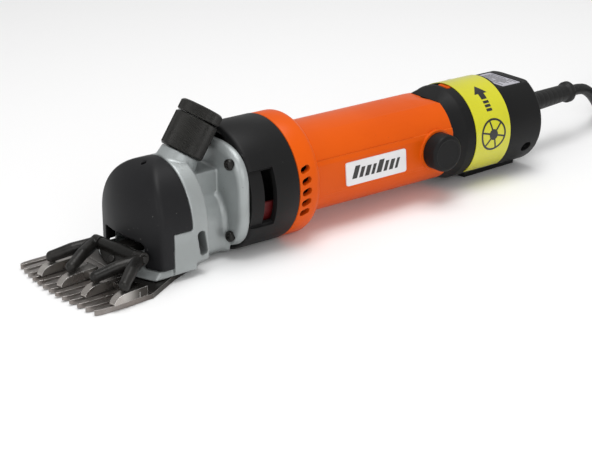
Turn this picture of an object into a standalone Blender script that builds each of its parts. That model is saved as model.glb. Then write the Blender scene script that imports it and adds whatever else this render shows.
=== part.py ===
"""Electric sheep shears: comb and cutter, cutting head, gear case, motor, tail and mains cord.

Sizes are millimetres and degrees; the helpers turn them into metres.
Two frames are used. In the world frame the comb lies flat on the table, with +X towards its
teeth and +Z up. In the handle frame, X is the motor's axis, and x = 0 is the front of the
motor housing.
"""
from math import atan2, cos, degrees, pi, radians, sin, sqrt

import bmesh
import bpy
from mathutils import Matrix, Vector

for old in list(bpy.data.objects):
    bpy.data.objects.remove(old)

mm = 0.001
gap = 0.3  # clearance between pieces that touch on the real object

# How the handle sits on the table
handle_pitch = 1.1  # nose up
axis_height = 32.1  # motor axis above the table, at the front of the motor housing
comb_reach = 68.6  # from there forward to the comb's screws

# Comb and cutter
comb_width = 76.0
comb_teeth = 13
comb_tip_x = 65.6
comb_tip_bow = 4.6  # how far the outer teeth stand back
comb_tooth_length = 33.0
comb_tooth_width = 3.7
comb_thickness = 2.9
comb_heel_x = -7.0
comb_heel_width = 44.0
comb_screw_spacing = 32.0
comb_screw_radius = 2.4
comb_head_radius = 4.4
comb_head_height = 1.5
cutter_points = 4
cutter_pitch = 18.7
cutter_height = 4.8
cutter_point_length = 19.5
cutter_point_width = 7.0
cutter_bar_depth = 7.5

# Fork and its drive
pivot_x = -8.6
fork_swing = 9.5  # from the middle of the stroke to either end
fork_to_cutter = 66.0  # pivot to the outer points' tips
fork_height = 15.6  # centre of the fork above the table
fork_thickness = 5.0
crosshead_reach = 36.0
web_length = 8.5
web_thickness = 3.6
web_slope = 50.0
yoke_spread = 16.6  # centre of the fork to a yoke
yoke_hub_length = 5.2
yoke_hub_radius = 3.4
yoke_arm_radius = 2.7
yoke_pin_radius = 1.7
crank_reach = 16.0  # pivot back to the crank roller
crank_throw = 2.7
crank_pin_radius = 1.5
roller_radius = 2.7
roller_length = 6.0
post_radius = 4.0

# Gears: the crank runs below the motor's axis
gear_module = 0.7
pinion_teeth = 8
gear_teeth = 30
gear_width = 9.0
gear_x = 16.5
gear_root_gap = 0.18

# Cutting head
head_half_width = 29.5
head_spring_z = -8.0  # where the straight sides turn into the arch
head_top_z = 24.5
hood_rear_x = 65.0
hood_front_x = 91.0
hood_front_bow = 58.0  # radius of the hood's front, seen from above
hood_corner = 2.4
hood_wall = 2.4
hood_foot_z = -26.0
hood_leg_rear_x = 76.8
hood_notch_z = -7.3
hood_mouth_width = 37.0
hood_mouth_z = -13.0
head_block_rear_x = 55.5
head_wall = 3.0
bed_top_z = 7.4
bed_front_x = 26.5
bed_lip = 4.2
boss_web_width = 20.8
fork_ear = 1.8
bearing_width = 4.4
barrel_radius = 17.8
barrel_wall = 2.4
flange_half_width = 31.6
flange_half_height = 28.6
flange_squareness = 3.1
flange_front_x = 36.5
flange_chamfer = 3.3
flange_screw_y = 22.0
flange_screw_z = 19.8
flange_screw_radius = 1.9
flange_screw_head_radius = 3.0
flange_screw_head_height = 2.6

# Tension nut: it leans back towards the handle
nut_lean = 34.0
nut_base_x = 52.2
nut_base_z = 24.0
nut_radius = 11.8
nut_length = 19.3
nut_groove = 0.5
nut_ring_length = 6.2
nut_bore = 6.2
boss_radius = 10.4
boss_length = 13.0
tension_pin_radius = 3.2

# Gear case
case_length = 30.5
case_radius = 34.5
case_wall = 3.6
case_window_low = -26.0
case_window_high = 29.0
case_window_rear = 15.5
case_window_depth = 1.5
case_slot_length = 7.0
deflector_top = -3.0

# Motor housing
motor_length = 116.7
collar_radius = 34.3
collar_length = 10.5
grip_radius = 25.7
grip_bore = 22.6
collar_bore = 31.0
collar_bore_depth = 14.0
side_flat = 24.9  # half width across the two flat sides
side_flat_height = 10.2
tail_flat_z = 22.3
tail_flat_ramp = 18.0
vent_count = 5
vent_pitch = 6.0
vent_middle = -0.8
vent_x = -4.6
vent_length = 6.4
vent_height = 3.7
vent_slant = 17.0

# Motor
shaft_radius = 3.0
pinion_length = 12.0
armature_radius = 14.6
armature_length = 38.0
armature_rear_x = -76.0
air_gap = 0.6
commutator_radius = 9.6
commutator_length = 15.0
fan_radius = 27.0
fan_blades = 9
bearing_outer = 9.5
bearing_length = 6.0
brush_x = -104.0
brush_cap_radius = 10.6
brush_cap_y = 35.2
brush_tube_radius = 5.6
brush_width = 5.0
brush_height = 6.4

# Tail cover
tail_length = 70.3
tail_radius = 27.6
tail_wall = 2.6
tail_collar_length = 9.5
tail_top_z = 23.5
tail_top_length = 25.5
foot_front_x = -141.0
foot_length = 41.0
foot_width = 18.0
tail_screw_angle = -28.0
tail_screw_x = -176.5
label_x = -132.5
label_width = 27.0
label_thickness = 0.35
label_end_angle = -50.0
plate_length = 14.5
plate_width = 26.0
plate_thickness = 0.5
badge_front_x = -37.5
badge_length = 44.0
badge_height = 13.6
badge_thickness = 0.4
switch_x = -135.5
switch_pocket_length = 15.0
switch_pocket_width = 12.0
switch_pocket_depth = 3.4
switch_knob_length = 6.0
switch_travel = 4.0

# Mains cord
guard_z = 2.6
guard_yaw = 5.0
guard_length = 55.5
guard_root_radius = 6.3
guard_end_radius = 5.2
guard_bead_radius = 6.6
cord_diameter = 6.8
coil_outer_radius = 50.4
coil_inner_radius = 29.6
coil_height = 20.8
coil_x = -418.0
coil_y = 0.0
coil_entry_angle = -50.0
coil_leave_angle = 125.0
tie_thickness = 0.6
tie_width = 10.0
tie_slack = 1.5
plug_length = 36.0
plug_width = 26.0
plug_height = 14.0
plug_pin_radius = 2.0
plug_pin_length = 19.0
plug_pin_spacing = 19.0
plug_to_coil = 1.2
plug_forward = 16.0  # its nose, past the middle of the coil

finishes = {
    "housing_orange": ((0.79, 0.122, 0.006), 0.38, 0.0),
    "black_plastic": ((0.030, 0.029, 0.028), 0.45, 0.0),
    "silver_paint": ((0.39, 0.41, 0.40), 0.42, 0.7),
    "comb_steel": ((0.42, 0.40, 0.38), 0.30, 1.0),
    "cutter_steel": ((0.48, 0.45, 0.42), 0.26, 1.0),
    "black_oxide": ((0.035, 0.033, 0.031), 0.40, 0.8),
    "bright_steel": ((0.55, 0.55, 0.55), 0.25, 1.0),
    "gear_steel": ((0.35, 0.35, 0.36), 0.35, 1.0),
    "brass": ((0.70, 0.48, 0.16), 0.30, 1.0),
    "copper": ((0.72, 0.30, 0.14), 0.35, 1.0),
    "carbon": ((0.04, 0.04, 0.045), 0.60, 0.2),
    "core_steel": ((0.22, 0.22, 0.24), 0.45, 0.9),
    "red_fibre": ((0.16, 0.008, 0.012), 0.50, 0.0),
    "label_yellow": ((0.72, 0.66, 0.02), 0.30, 0.0),
    "badge_white": ((0.80, 0.80, 0.80), 0.25, 0.0),
    "plate_foil": ((0.55, 0.54, 0.60), 0.30, 0.2),
    "rubber": ((0.022, 0.022, 0.022), 0.60, 0.0),
}

handle = bpy.data.objects.new("handle_axis", None)
bpy.context.scene.collection.objects.link(handle)
handle.rotation_euler = (0, radians(-handle_pitch), 0)
handle.location = Vector((-comb_reach, 0, axis_height)) * mm

fork_axis = bpy.data.objects.new("fork_axis", None)
bpy.context.scene.collection.objects.link(fork_axis)
fork_axis.location = Vector((pivot_x, 0, 0)) * mm
fork_axis.rotation_euler = (0, 0, radians(fork_swing))


# Helpers

def finish(name):
    """The material of one finish."""
    made = bpy.data.materials.get(name)
    if made:
        return made
    color, roughness, metallic = finishes[name]
    made = bpy.data.materials.new(name)
    made.use_nodes = True
    shader = made.node_tree.nodes["Principled BSDF"]
    shader.inputs["Base Color"].default_value = (*color, 1)
    shader.inputs["Roughness"].default_value = roughness
    shader.inputs["Metallic"].default_value = metallic
    made.diffuse_color = (*color, 1)
    return made


def add(name, shape, look=None, parent=None, origin=(0, 0, 0)):
    """An object made of a bmesh in millimetres. Its origin is a point of the parent's frame."""
    bmesh.ops.remove_doubles(shape, verts=shape.verts, dist=1e-4)
    bmesh.ops.dissolve_degenerate(shape, edges=shape.edges, dist=1e-4)
    bmesh.ops.recalc_face_normals(shape, faces=shape.faces)
    bmesh.ops.translate(shape, verts=shape.verts, vec=-Vector(origin))
    bmesh.ops.scale(shape, verts=shape.verts, vec=(mm, mm, mm))
    mesh = bpy.data.meshes.new(name)
    shape.to_mesh(mesh)
    shape.free()
    mesh.shade_smooth()
    mesh.set_sharp_from_angle(angle=radians(35))
    made = bpy.data.objects.new(name, mesh)
    bpy.context.scene.collection.objects.link(made)
    made.parent = parent
    made.location = Vector(origin) * mm
    if look:
        mesh.materials.append(finish(look))
    return made


def combine(target, tool, operation):
    """Joins a shape to an object or cuts it out, and keeps the shape as a hidden guide."""
    tool.hide_render = True
    tool.display_type = "WIRE"
    change = target.modifiers.new(tool.name, "BOOLEAN")
    change.operation = operation
    change.solver = "EXACT"
    change.object = tool
    return target


def cut(target, shape, parent=None, name="cutter_guide"):
    return combine(target, add(name, shape, parent=parent), "DIFFERENCE")


def join(target, shape, parent=None, name="added_guide"):
    return combine(target, add(name, shape, parent=parent), "UNION")


def turned(profile, steps=32, centre=(0, 0), closed=False):
    """A profile of (x, radius) points turned about a line along X through centre (y, z)."""
    shape = bmesh.new()
    points = [shape.verts.new((x, r, 0)) for x, r in profile]
    edges = [shape.edges.new(pair) for pair in zip(points, points[1:])]
    if closed:
        edges.append(shape.edges.new((points[-1], points[0])))
    bmesh.ops.spin(shape, geom=points + edges, axis=(1, 0, 0), cent=(0, 0, 0),
                   angle=2 * pi, steps=steps)
    bmesh.ops.translate(shape, verts=shape.verts, vec=(0, *centre))
    return shape


def rod(start, end, radius, end_radius=None, steps=16):
    """A round bar between two points, tapered when it has a second radius."""
    start = Vector(start)
    end = Vector(end)
    shape = bmesh.new()
    bmesh.ops.create_cone(shape, cap_ends=True, segments=steps, radius1=radius,
                          radius2=radius if end_radius is None else end_radius,
                          depth=(end - start).length)
    turn = Vector((0, 0, 1)).rotation_difference(end - start).to_matrix().to_4x4()
    bmesh.ops.transform(shape, matrix=Matrix.Translation((start + end) / 2) @ turn,
                        verts=shape.verts)
    return shape


def ring(x_low, x_high, inner, outer, steps=32, centre=(0, 0)):
    """A plain tube along X."""
    return turned([(x_low, inner), (x_high, inner), (x_high, outer), (x_low, outer)],
                  steps, centre, closed=True)


def block(low, high, bevel=0.0, segments=2):
    """A box between two corners, with its edges rounded by bevel."""
    low = Vector(low)
    high = Vector(high)
    shape = bmesh.new()
    bmesh.ops.create_cube(shape, size=1)
    bmesh.ops.scale(shape, verts=shape.verts, vec=high - low)
    bmesh.ops.translate(shape, verts=shape.verts, vec=(low + high) / 2)
    if bevel:
        bmesh.ops.bevel(shape, geom=shape.edges[:], offset=bevel, segments=segments,
                        profile=0.5, affect="EDGES")
    return shape


def extruded(outline, low, high, axis="Z"):
    """A flat outline extruded along one axis. The outline is given in the other two, in order."""
    place = {
        "X": lambda a, b, depth: (depth, a, b),
        "Y": lambda a, b, depth: (a, depth, b),
        "Z": lambda a, b, depth: (a, b, depth),
    }[axis]
    shape = bmesh.new()
    face = shape.faces.new([shape.verts.new(place(a, b, low)) for a, b in outline])
    made = bmesh.ops.extrude_face_region(shape, geom=[face])
    moved = [item for item in made["geom"] if isinstance(item, bmesh.types.BMVert)]
    bmesh.ops.translate(shape, verts=moved, vec=Vector(place(0, 0, high)) - Vector(place(0, 0, low)))
    return shape


def lofted(rows):
    """A closed solid through loops of equally many points, with a cap on the first and the last."""
    shape = bmesh.new()
    loops = [[shape.verts.new(point) for point in row] for row in rows]
    for lower, upper in zip(loops, loops[1:]):
        for index in range(len(lower)):
            after = (index + 1) % len(lower)
            shape.faces.new((lower[index], lower[after], upper[after], upper[index]))
    shape.faces.new(reversed(loops[0]))
    shape.faces.new(loops[-1])
    return shape


def turn_shape(shape, angle, axis, about=(0, 0, 0)):
    bmesh.ops.rotate(shape, verts=shape.verts, cent=about,
                     matrix=Matrix.Rotation(radians(angle), 3, axis))
    return shape


def arc(centre, radius, first, last, steps):
    """Points along a circular arc, in degrees."""
    turns = [radians(first + (last - first) * step / steps) for step in range(steps + 1)]
    return [(centre[0] + radius * cos(t), centre[1] + radius * sin(t)) for t in turns]


def on_handle(x, y, z):
    """A point of the handle frame in the world frame, in millimetres."""
    pitch = radians(handle_pitch)
    return Vector((x * cos(pitch) - z * sin(pitch) - comb_reach,
                   y,
                   x * sin(pitch) + z * cos(pitch) + axis_height))


# Comb and cutter

def comb_tip(y):
    return comb_tip_x - comb_tip_bow * (2 * y / comb_width) ** 2


def comb_outline():
    """The comb from above: teeth along the front, a heel that narrows to the back."""
    half = comb_width / 2
    pitch = (comb_width - comb_tooth_width * 0.5) / (comb_teeth - 1)
    root = comb_tip_x - comb_tooth_length
    outline = []
    for index in range(comb_teeth):
        y = (index - (comb_teeth - 1) / 2) * pitch
        tip = comb_tip(y)
        side = comb_tooth_width / 2
        narrow = side * 0.42
        outline += [(root, y - side), (tip - 7, y - side * 0.92), (tip - 0.8, y - narrow)]
        outline += [(tip, y), (tip - 0.8, y + narrow)]
        outline += [(tip - 7, y + side * 0.92), (root, y + side)]
    outline[0] = (root - 2, -half)
    outline[-1] = (root - 2, half)
    outline += [(root - 5, half), (comb_heel_x + 14, comb_heel_width / 2 + 4)]
    outline += [(comb_heel_x, comb_heel_width / 2 - 2)]
    outline += [(comb_heel_x, -comb_heel_width / 2 + 2)]
    outline += [(comb_heel_x + 14, -comb_heel_width / 2 - 4), (root - 5, -half)]
    return outline


def make_comb():
    comb = add("comb", extruded(comb_outline(), 0, comb_thickness), "comb_steel")
    # The underside rises to the points, so that they ride over the skin
    rise = block((-18, -comb_width, -6), (12, comb_width, 0))
    turn_shape(rise, -9, "Y")
    bmesh.ops.translate(rise, verts=rise.verts, vec=(comb_tip_x - 8, 0, -0.4))
    cut(comb, rise)
    for side in (-1, 1):
        y = side * comb_screw_spacing / 2
        slot = comb_screw_radius + gap
        cut(comb, block((comb_heel_x - 3, y - slot, -1), (0, y + slot, comb_thickness + 1)))
        cut(comb, rod((0, y, -1), (0, y, comb_thickness + 1), slot))
        relief = comb_head_radius + 2 * gap
        cut(comb, block((comb_heel_x - 3, y - relief, -1), (0, y + relief, comb_head_height + gap)))
        cut(comb, rod((0, y, -1), (0, y, comb_head_height + gap), relief, steps=20))
    return comb


def make_comb_screws():
    for side, name in ((-1, "comb_screw_right"), (1, "comb_screw_left")):
        y = side * comb_screw_spacing / 2
        low = gap
        head_top = comb_head_height
        screw = add(name, rod((0, y, low), (0, y, head_top), comb_head_radius, steps=20), "black_oxide",
                    origin=(0, y, low))
        join(screw, rod((0, y, head_top - 0.5), (0, y, bed_top_z - 0.8), comb_screw_radius))
        cut(screw, block((-comb_head_radius - 1, y - 0.6, low - 1), (comb_head_radius + 1, y + 0.6, low + 0.6)))


def cutter_y(index):
    return (index - (cutter_points - 1) / 2) * cutter_pitch


def cutter_tip(index):
    """Distance from the fork's pivot to one point's tip."""
    inner = abs(cutter_y(index)) < cutter_pitch
    return fork_to_cutter + (2.6 if inner else 0)


def make_cutter():
    """Four ground points on one bar, riding just over the comb. It swings with the fork."""
    low = comb_thickness + gap
    top = low + cutter_height
    rear = fork_to_cutter - cutter_point_length
    half_bar = cutter_y(cutter_points - 1) + cutter_point_width / 2
    bar = extruded([(rear - 3.5, -half_bar + 3), (rear + cutter_bar_depth - 3.5, -half_bar),
                    (rear + cutter_bar_depth - 2.4, 0),
                    (rear + cutter_bar_depth - 3.5, half_bar), (rear - 3.5, half_bar - 3),
                    (rear - 1.5, 0)], low, top - 2.0)
    cutter = add("cutter", bar, "cutter_steel", parent=fork_axis)
    for index in range(cutter_points):
        y = cutter_y(index)
        tip = cutter_tip(index)
        # Seen from the side, a quarter ellipse rises from the tip to the flat top
        rise = [(tip - 8.5 * (1 - cos(t)), low + 0.3 + (cutter_height - 0.3) * sin(t))
                for t in (radians(15 * step) for step in range(7))]
        side_view = [(rear - 1, low), (tip - 0.2, low)] + rise + [(rear - 1, top)]
        point = extruded(side_view, -cutter_point_width / 2, cutter_point_width / 2, "Y")
        for vert in point.verts:
            share = (vert.co.x - rear) / (tip - rear)
            vert.co.y *= 1 - 0.45 * max(0.0, share)
        bmesh.ops.translate(point, verts=point.verts, vec=(0, y, 0))
        join(cutter, point, fork_axis)
    return cutter


# Fork

def make_fork():
    """A lever over the centre post: a slot for the crank roller behind, the crosshead in front."""
    low = fork_height - fork_thickness / 2
    high = fork_height + fork_thickness / 2
    slot = roller_radius + 2 * crank_throw + gap
    ear = slot + fork_ear
    rear = -crank_reach - roller_length / 2 - 0.2
    throat = -crank_reach + roller_length / 2 + 1.4
    outline = [(rear, -ear), (throat + 3, -ear), (throat + 8, -7.0), (8, -7.5), (crosshead_reach - 8, -4.6),
               (crosshead_reach, -5.2), (crosshead_reach, 5.2), (crosshead_reach - 8, 4.6), (8, 7.5),
               (throat + 8, 7.0), (throat + 3, ear), (rear, ear), (rear, slot), (throat, slot),
               (throat, -slot), (rear, -slot)]
    fork = add("fork", extruded(outline, low, high), "black_oxide", parent=fork_axis)
    roller_z = crank_height() - fork_height
    for side in (-1, 1):
        # The ears rise to the height of the crank
        join(fork, block((rear, min(side * slot, side * ear), low + 0.5),
                         (throat + 1.5, max(side * slot, side * ear), fork_height + roller_z + 3.2)), fork_axis)
        arm_end = side * (yoke_spread - yoke_hub_length / 2 - gap)
        join(fork, rod((crosshead_reach, 0, fork_height), (crosshead_reach, arm_end, fork_height), 3.9, 3.2),
             fork_axis)
        # A short pin at each end carries a yoke
        pin_end = side * (yoke_spread + yoke_hub_length / 2 + gap)
        join(fork, rod((crosshead_reach, arm_end - side, fork_height), (crosshead_reach, pin_end, fork_height),
                       yoke_pin_radius), fork_axis)
    web = block((-2, -5.5, -web_thickness / 2), (web_length, 5.5, web_thickness / 2), 0.8)
    turn_shape(web, web_slope, "Y")
    bmesh.ops.translate(web, verts=web.verts, vec=(crosshead_reach, 0, fork_height))
    join(fork, web, fork_axis)
    # A cup for the tension pin on top and one for the post below
    join(fork, rod((cup_x() - 4, 0, high - 1), (cup_x() - 4, 0, high + 2.2), 6.4, 5.4, 20), fork_axis)
    cut(fork, rod((0, 0, low - 1), (0, 0, post_top() + gap), post_radius + 0.6, steps=20), fork_axis)
    return fork


def cup_x():
    """How far in front of the pivot the tension pin's line meets the fork."""
    lean = radians(nut_lean)
    drop = (on_handle(nut_base_x, 0, nut_base_z).z - fork_height - fork_thickness / 2) / cos(lean)
    return on_handle(nut_base_x, 0, nut_base_z).x + drop * sin(lean) - pivot_x


def crank_height():
    """The crank's centre line over the table, at the roller."""
    return on_handle(pivot_x + comb_reach - crank_reach, 0, crank_z()).z


def crank_z():
    return -gear_module * (pinion_teeth + gear_teeth) / 2


def post_top():
    return fork_height - fork_thickness / 2 + 2.6


def make_yokes():
    """Each yoke hangs on the crosshead and presses two points of the cutter."""
    top = comb_thickness + gap + cutter_height
    for side, name in ((-1, "right_yoke"), (1, "left_yoke")):
        centre = Vector((crosshead_reach, side * yoke_spread, fork_height))
        half = Vector((0, yoke_hub_length / 2, 0))
        yoke = add(name, rod(centre - half, centre + half, yoke_hub_radius, steps=20), "black_oxide",
                   parent=fork_axis, origin=centre)
        for index in range(cutter_points):
            y = cutter_y(index)
            if y * side < 0:
                continue
            foot_x = cutter_tip(index) - 8.6
            elbow = Vector((foot_x, y, top + 3.2))
            start = centre + Vector((2.0, 0.8 * side, -0.4))
            join(yoke, rod(start, elbow, yoke_arm_radius, yoke_arm_radius - 0.5, 14), fork_axis)
            join(yoke, rod(elbow + Vector((-0.4, 0, 1.0)), (foot_x - 0.2, y, top + 1.2), 2.4, 2.1, 14), fork_axis)
            for pin in (-1, 1):
                at = Vector((foot_x - 0.2, y + pin * 1.2, top))
                join(yoke, rod(at + Vector((0, 0, gap)), at + Vector((0, 0, 1.8)), 0.7, steps=8), fork_axis)
        cut(yoke, rod(centre - 2 * half, centre + 2 * half, yoke_pin_radius + gap), fork_axis)


def make_crosshead_rivet():
    slope = radians(web_slope)
    out = Vector((sin(slope), 0, cos(slope)))
    along = Vector((cos(slope), 0, -sin(slope)))
    at = Vector((crosshead_reach, 0, fork_height)) + along * 6.0 + out * (web_thickness / 2 + gap)
    return add("crosshead_rivet", rod(at, at + out * 1.1, 1.9, 1.5), "bright_steel", parent=fork_axis, origin=at)


def make_post():
    """The stud that the fork pivots on, screwed up through the bed."""
    top = post_top()
    post = add("centre_post", rod((pivot_x, 0, comb_thickness + 1.2), (pivot_x, 0, top - 1.6), post_radius, steps=20),
               "bright_steel", origin=(pivot_x, 0, 0))
    join(post, rod((pivot_x, 0, top - 1.7), (pivot_x, 0, top), post_radius, 1.6, 20))
    return post


# Cutting head

def hood_front(z, inset):
    """How far forward the hood reaches at one height."""
    rise = (z - head_spring_z) / (head_top_z - inset - head_spring_z)
    round_part = sqrt(max(0.0, 1 - max(0.0, min(1.0, rise)) ** 2.1))
    return hood_rear_x + (hood_front_x - inset - hood_rear_x) * (0.12 + 0.88 * round_part)


def arch_half_width(z, inset):
    rise = max(0.0, min(1.0, (z - head_spring_z) / (head_top_z - inset - head_spring_z)))
    return (head_half_width - inset) * sqrt(max(0.0, 1 - rise * rise))


def hood_row(z, inset, rear):
    """The hood's outline at one height: a straight side, a rounded corner and a bowed front."""
    half = arch_half_width(z, inset)
    front = hood_front(z, inset)
    corner = min(hood_corner, 0.6 * half)
    side_x = front - half ** 2 / (2 * hood_front_bow)
    turn_y = half - corner
    turn_x = front - turn_y ** 2 / (2 * hood_front_bow)
    near = [(rear, half)]
    for step in range(5):
        t = step / 4
        x = (1 - t) ** 2 * (side_x - corner) + 2 * t * (1 - t) * side_x + t ** 2 * turn_x
        y = (1 - t) ** 2 * half + 2 * t * (1 - t) * half + t ** 2 * turn_y
        near.append((x, y))
    for step in range(1, 5):
        y = turn_y * (1 - step / 5)
        near.append((front - y ** 2 / (2 * hood_front_bow), y))
    middle = [(front, 0.0)]
    return near + middle + [(x, -y) for x, y in reversed(near)]


def dome(inset, low, rear):
    """The closed solid of the hood's outside, made smaller all round by inset."""
    top = head_top_z - inset
    heights = [low, (low + head_spring_z) / 2]
    heights += [head_spring_z + (top - head_spring_z) * sin(radians(8.5 * step)) for step in range(11)]
    return lofted([[(x, y, z) for x, y in hood_row(z, inset, rear)] for z in heights])


def make_hood():
    hood = add("head_hood", dome(0, hood_foot_z, hood_rear_x + gap), "black_plastic", parent=handle,
               origin=(hood_rear_x, 0, 0))
    cut(hood, dome(hood_wall, hood_foot_z - 5, hood_rear_x - 5), handle)
    half = hood_mouth_width / 2
    mouth = [(-half, hood_foot_z - 3), (half, hood_foot_z - 3), (half, hood_mouth_z - 1.5),
             (half - 2, hood_mouth_z), (0, hood_mouth_z + 0.8), (-half + 2, hood_mouth_z), (-half, hood_mouth_z - 1.5)]
    cut(hood, extruded(mouth, hood_leg_rear_x - 2, hood_front_x + 5, "X"), handle)
    cut(hood, block((hood_rear_x - 5, -40, hood_foot_z - 5), (hood_leg_rear_x, 40, hood_notch_z)), handle)
    cut(hood, rod((hood_rear_x + 9, 0, head_top_z - 6), (hood_rear_x + 11, 0, head_top_z + 4), 1.5, steps=12),
        handle)
    return hood


def nut_direction():
    return Vector((-sin(radians(nut_lean)), 0, cos(radians(nut_lean))))


def barrel_outline(x, flare):
    """A round top on straight sides."""
    radius = barrel_radius + flare
    top = arc((0, crank_z()), radius, 0, 180, 16)
    floor = crank_z() - barrel_radius + 1
    return [(x, y, z) for y, z in [(radius - 3, floor), (radius, floor + 3)] + top
            + [(-radius, floor + 3), (3 - radius, floor)]]


def bed_outline(z, set_back):
    """The bed from above: it follows the hood's front, a little ahead of it."""
    half = head_half_width - 1 - set_back * 0.25
    rear = pivot_x - 6
    side = [(bed_front_x - set_back - y ** 2 / (2 * hood_front_bow), y) for y in (9.0, 18.0, half)]
    side.append((rear, half - 2))
    return [(x, y, z) for x, y in side] + [(x, -y, z) for x, y in reversed(side)]


def make_head():
    """The cast head: flange, barrel for the crank, arch behind the hood, bed for the comb."""
    base = Vector((nut_base_x, 0, nut_base_z))
    up = nut_direction()
    barrel = (0, crank_z())
    # Arch behind the hood, with its lower corners cut back
    rows = []
    for step in range(17):
        z = head_spring_z + (head_top_z - head_spring_z) * sin(radians(90 * step / 16))
        rows.append((arch_half_width(z, 0), z))
    under = -30.4
    outline = [(-22, under), (22, under), (head_half_width, -25)] + rows
    outline += [(-y, z) for y, z in reversed(rows[:-1])] + [(-head_half_width, -25)]
    head = add("head_housing", extruded(outline, head_block_rear_x, hood_rear_x, "X"), "silver_paint", parent=handle,
               origin=(head_block_rear_x, 0, 0))
    # Side walls below the hood's notch, and the bed
    for side in (-1, 1):
        wall = sorted((side * head_half_width, side * (head_half_width - head_wall)))
        join(head, block((hood_rear_x - 2, wall[0], -29.5),
                         (hood_leg_rear_x - gap, wall[1], hood_notch_z - gap)), handle)
    join(head, lofted([bed_outline(comb_thickness + gap, 0), bed_outline(comb_thickness + gap + 0.8, 0),
                       bed_outline(bed_top_z, bed_lip)]))
    # Barrel, flange and the boss of the tension nut
    join(head, lofted([barrel_outline(flange_front_x - 2, 1.5), barrel_outline(flange_front_x + 1.5, 0),
                       barrel_outline(head_block_rear_x + 3, 0)]), handle)
    join(head, flange_shape(), handle)
    hub = case_length - 4.5
    join(head, ring(hub, flange_front_x - 1, bearing_outer + gap, bearing_outer + 3.4, 28, barrel), handle)
    join(head, rod(base - up * boss_length, base - up * gap, boss_radius + 1.6, boss_radius, 28), handle)
    join(head, rod(base - up * 3, base + up * 9, nut_bore - gap, steps=24), handle)
    join(head, block((flange_front_x - 1, -boss_web_width / 2, crank_z() + 10),
                     (head_block_rear_x + 2, boss_web_width / 2, nut_base_z - boss_length + 3), 1.0), handle)
    # Inside: the hollow of the head, the crank chamber, the bearing bore and the pin's bore
    hollow = head_half_width - head_wall
    cut(head, extruded([(-hollow, -23.6), (hollow, -23.6), (hollow, head_spring_z), (hollow * 0.8, 9),
                        (hollow * 0.45, 17), (-hollow * 0.45, 17), (-hollow * 0.8, 9), (-hollow, head_spring_z)],
                       head_block_rear_x + 3.2, hood_rear_x + 5, "X"), handle)
    cut(head, turned([(flange_front_x + 1.4, 0), (flange_front_x + 1.4, barrel_radius - barrel_wall),
                      (head_block_rear_x + 6, barrel_radius - barrel_wall), (head_block_rear_x + 6, 0)],
                     32, barrel), handle)
    cut(head, turned([(hub - 2, 0), (hub - 2, bearing_outer + gap), (flange_front_x + 6, bearing_outer + gap),
                      (flange_front_x + 6, 0)], 28, barrel), handle)
    cut(head, rod(base - up * (boss_length + 12), base + up * 12, tension_pin_radius + gap, steps=16), handle)
    # The hood fits in front of the arch, and the underside rises to the rear on both sides
    cut(head, block((hood_rear_x, -40, hood_notch_z - gap / 2), (hood_rear_x + 30, 40, 60)), handle)
    for side in (-1, 1):
        wide = sorted((side * (barrel_radius + 0.4), side * 40))
        under_cut = turn_shape(block((-30, wide[0], -30), (0, wide[1], 0)), 27, "Y")
        bmesh.ops.translate(under_cut, verts=under_cut.verts, vec=(hood_rear_x + 0.6, 0, under))
        cut(head, under_cut, handle)
    # Holes for the comb's screws and the post, a slot in each side, and screw holes in the flange
    for side in (-1, 1):
        y = side * comb_screw_spacing / 2
        cut(head, rod((0, y, 0), (0, y, bed_top_z + 2), comb_screw_radius + gap))
        wall_y = side * head_half_width
        slot = block((head_block_rear_x + 1.2, min(wall_y - side * 4.5, wall_y + side * 2), -21),
                     (head_block_rear_x + 5.4, max(wall_y - side * 4.5, wall_y + side * 2), -10.5), 1.4)
        cut(head, slot, handle)
        for height in (-1, 1):
            at = (side * flange_screw_y, height * flange_screw_z)
            cut(head, turned([(case_length - 3, 0), (case_length - 3, flange_screw_radius + gap),
                              (flange_front_x + 3, flange_screw_radius + gap), (flange_front_x + 3, 0)],
                             12, at), handle)
    cut(head, rod((pivot_x, 0, comb_thickness - 1), (pivot_x, 0, bed_top_z + 3), post_radius + gap, steps=20))
    # Nothing of the casting reaches below the face that the comb lies on
    cut(head, block((pivot_x - 8, -60, -10), (60, 60, comb_thickness + gap)))
    return head


def flange_outline(x, inset):
    """A rounded rectangle about as wide as the gear case, as a superellipse."""
    made = []
    for step in range(48):
        t = radians(7.5 * step)
        y = (flange_half_width - inset) * abs(cos(t)) ** (2 / flange_squareness)
        z = (flange_half_height - inset) * abs(sin(t)) ** (2 / flange_squareness)
        made.append((x, y if cos(t) > 0 else -y, z if sin(t) > 0 else -z))
    return made


def flange_shape():
    low = case_length + gap
    return lofted([flange_outline(low, 0), flange_outline(low + 2.2, 0),
                   flange_outline(flange_front_x - 1.3, flange_chamfer * 0.35),
                   flange_outline(flange_front_x, flange_chamfer)])


def make_flange_screws():
    for side, side_name in ((-1, "right"), (1, "left")):
        for height, height_name in ((-1, "lower"), (1, "upper")):
            at = (side * flange_screw_y, height * flange_screw_z)
            low = flange_front_x + gap
            top = low + flange_screw_head_height
            head = [(low, 0), (low, flange_screw_head_radius), (low + 1.2, flange_screw_head_radius),
                    (top - 0.5, flange_screw_head_radius * 0.8), (top, flange_screw_head_radius * 0.45), (top, 0)]
            screw = add(f"flange_screw_{height_name}_{side_name}", turned(head, 12, at), "black_oxide",
                        parent=handle, origin=(low, *at))
            join(screw, turned([(case_length - 2.2, 0), (case_length - 2.2, flange_screw_radius),
                                (low + 0.6, flange_screw_radius), (low + 0.6, 0)], 12, at), handle)
            for long, thin in ((1.9, 0.35), (0.35, 1.9)):
                cut(screw, block((top - 1.1, at[0] - long, at[1] - thin), (top + 1, at[0] + long, at[1] + thin)),
                    handle)


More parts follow.
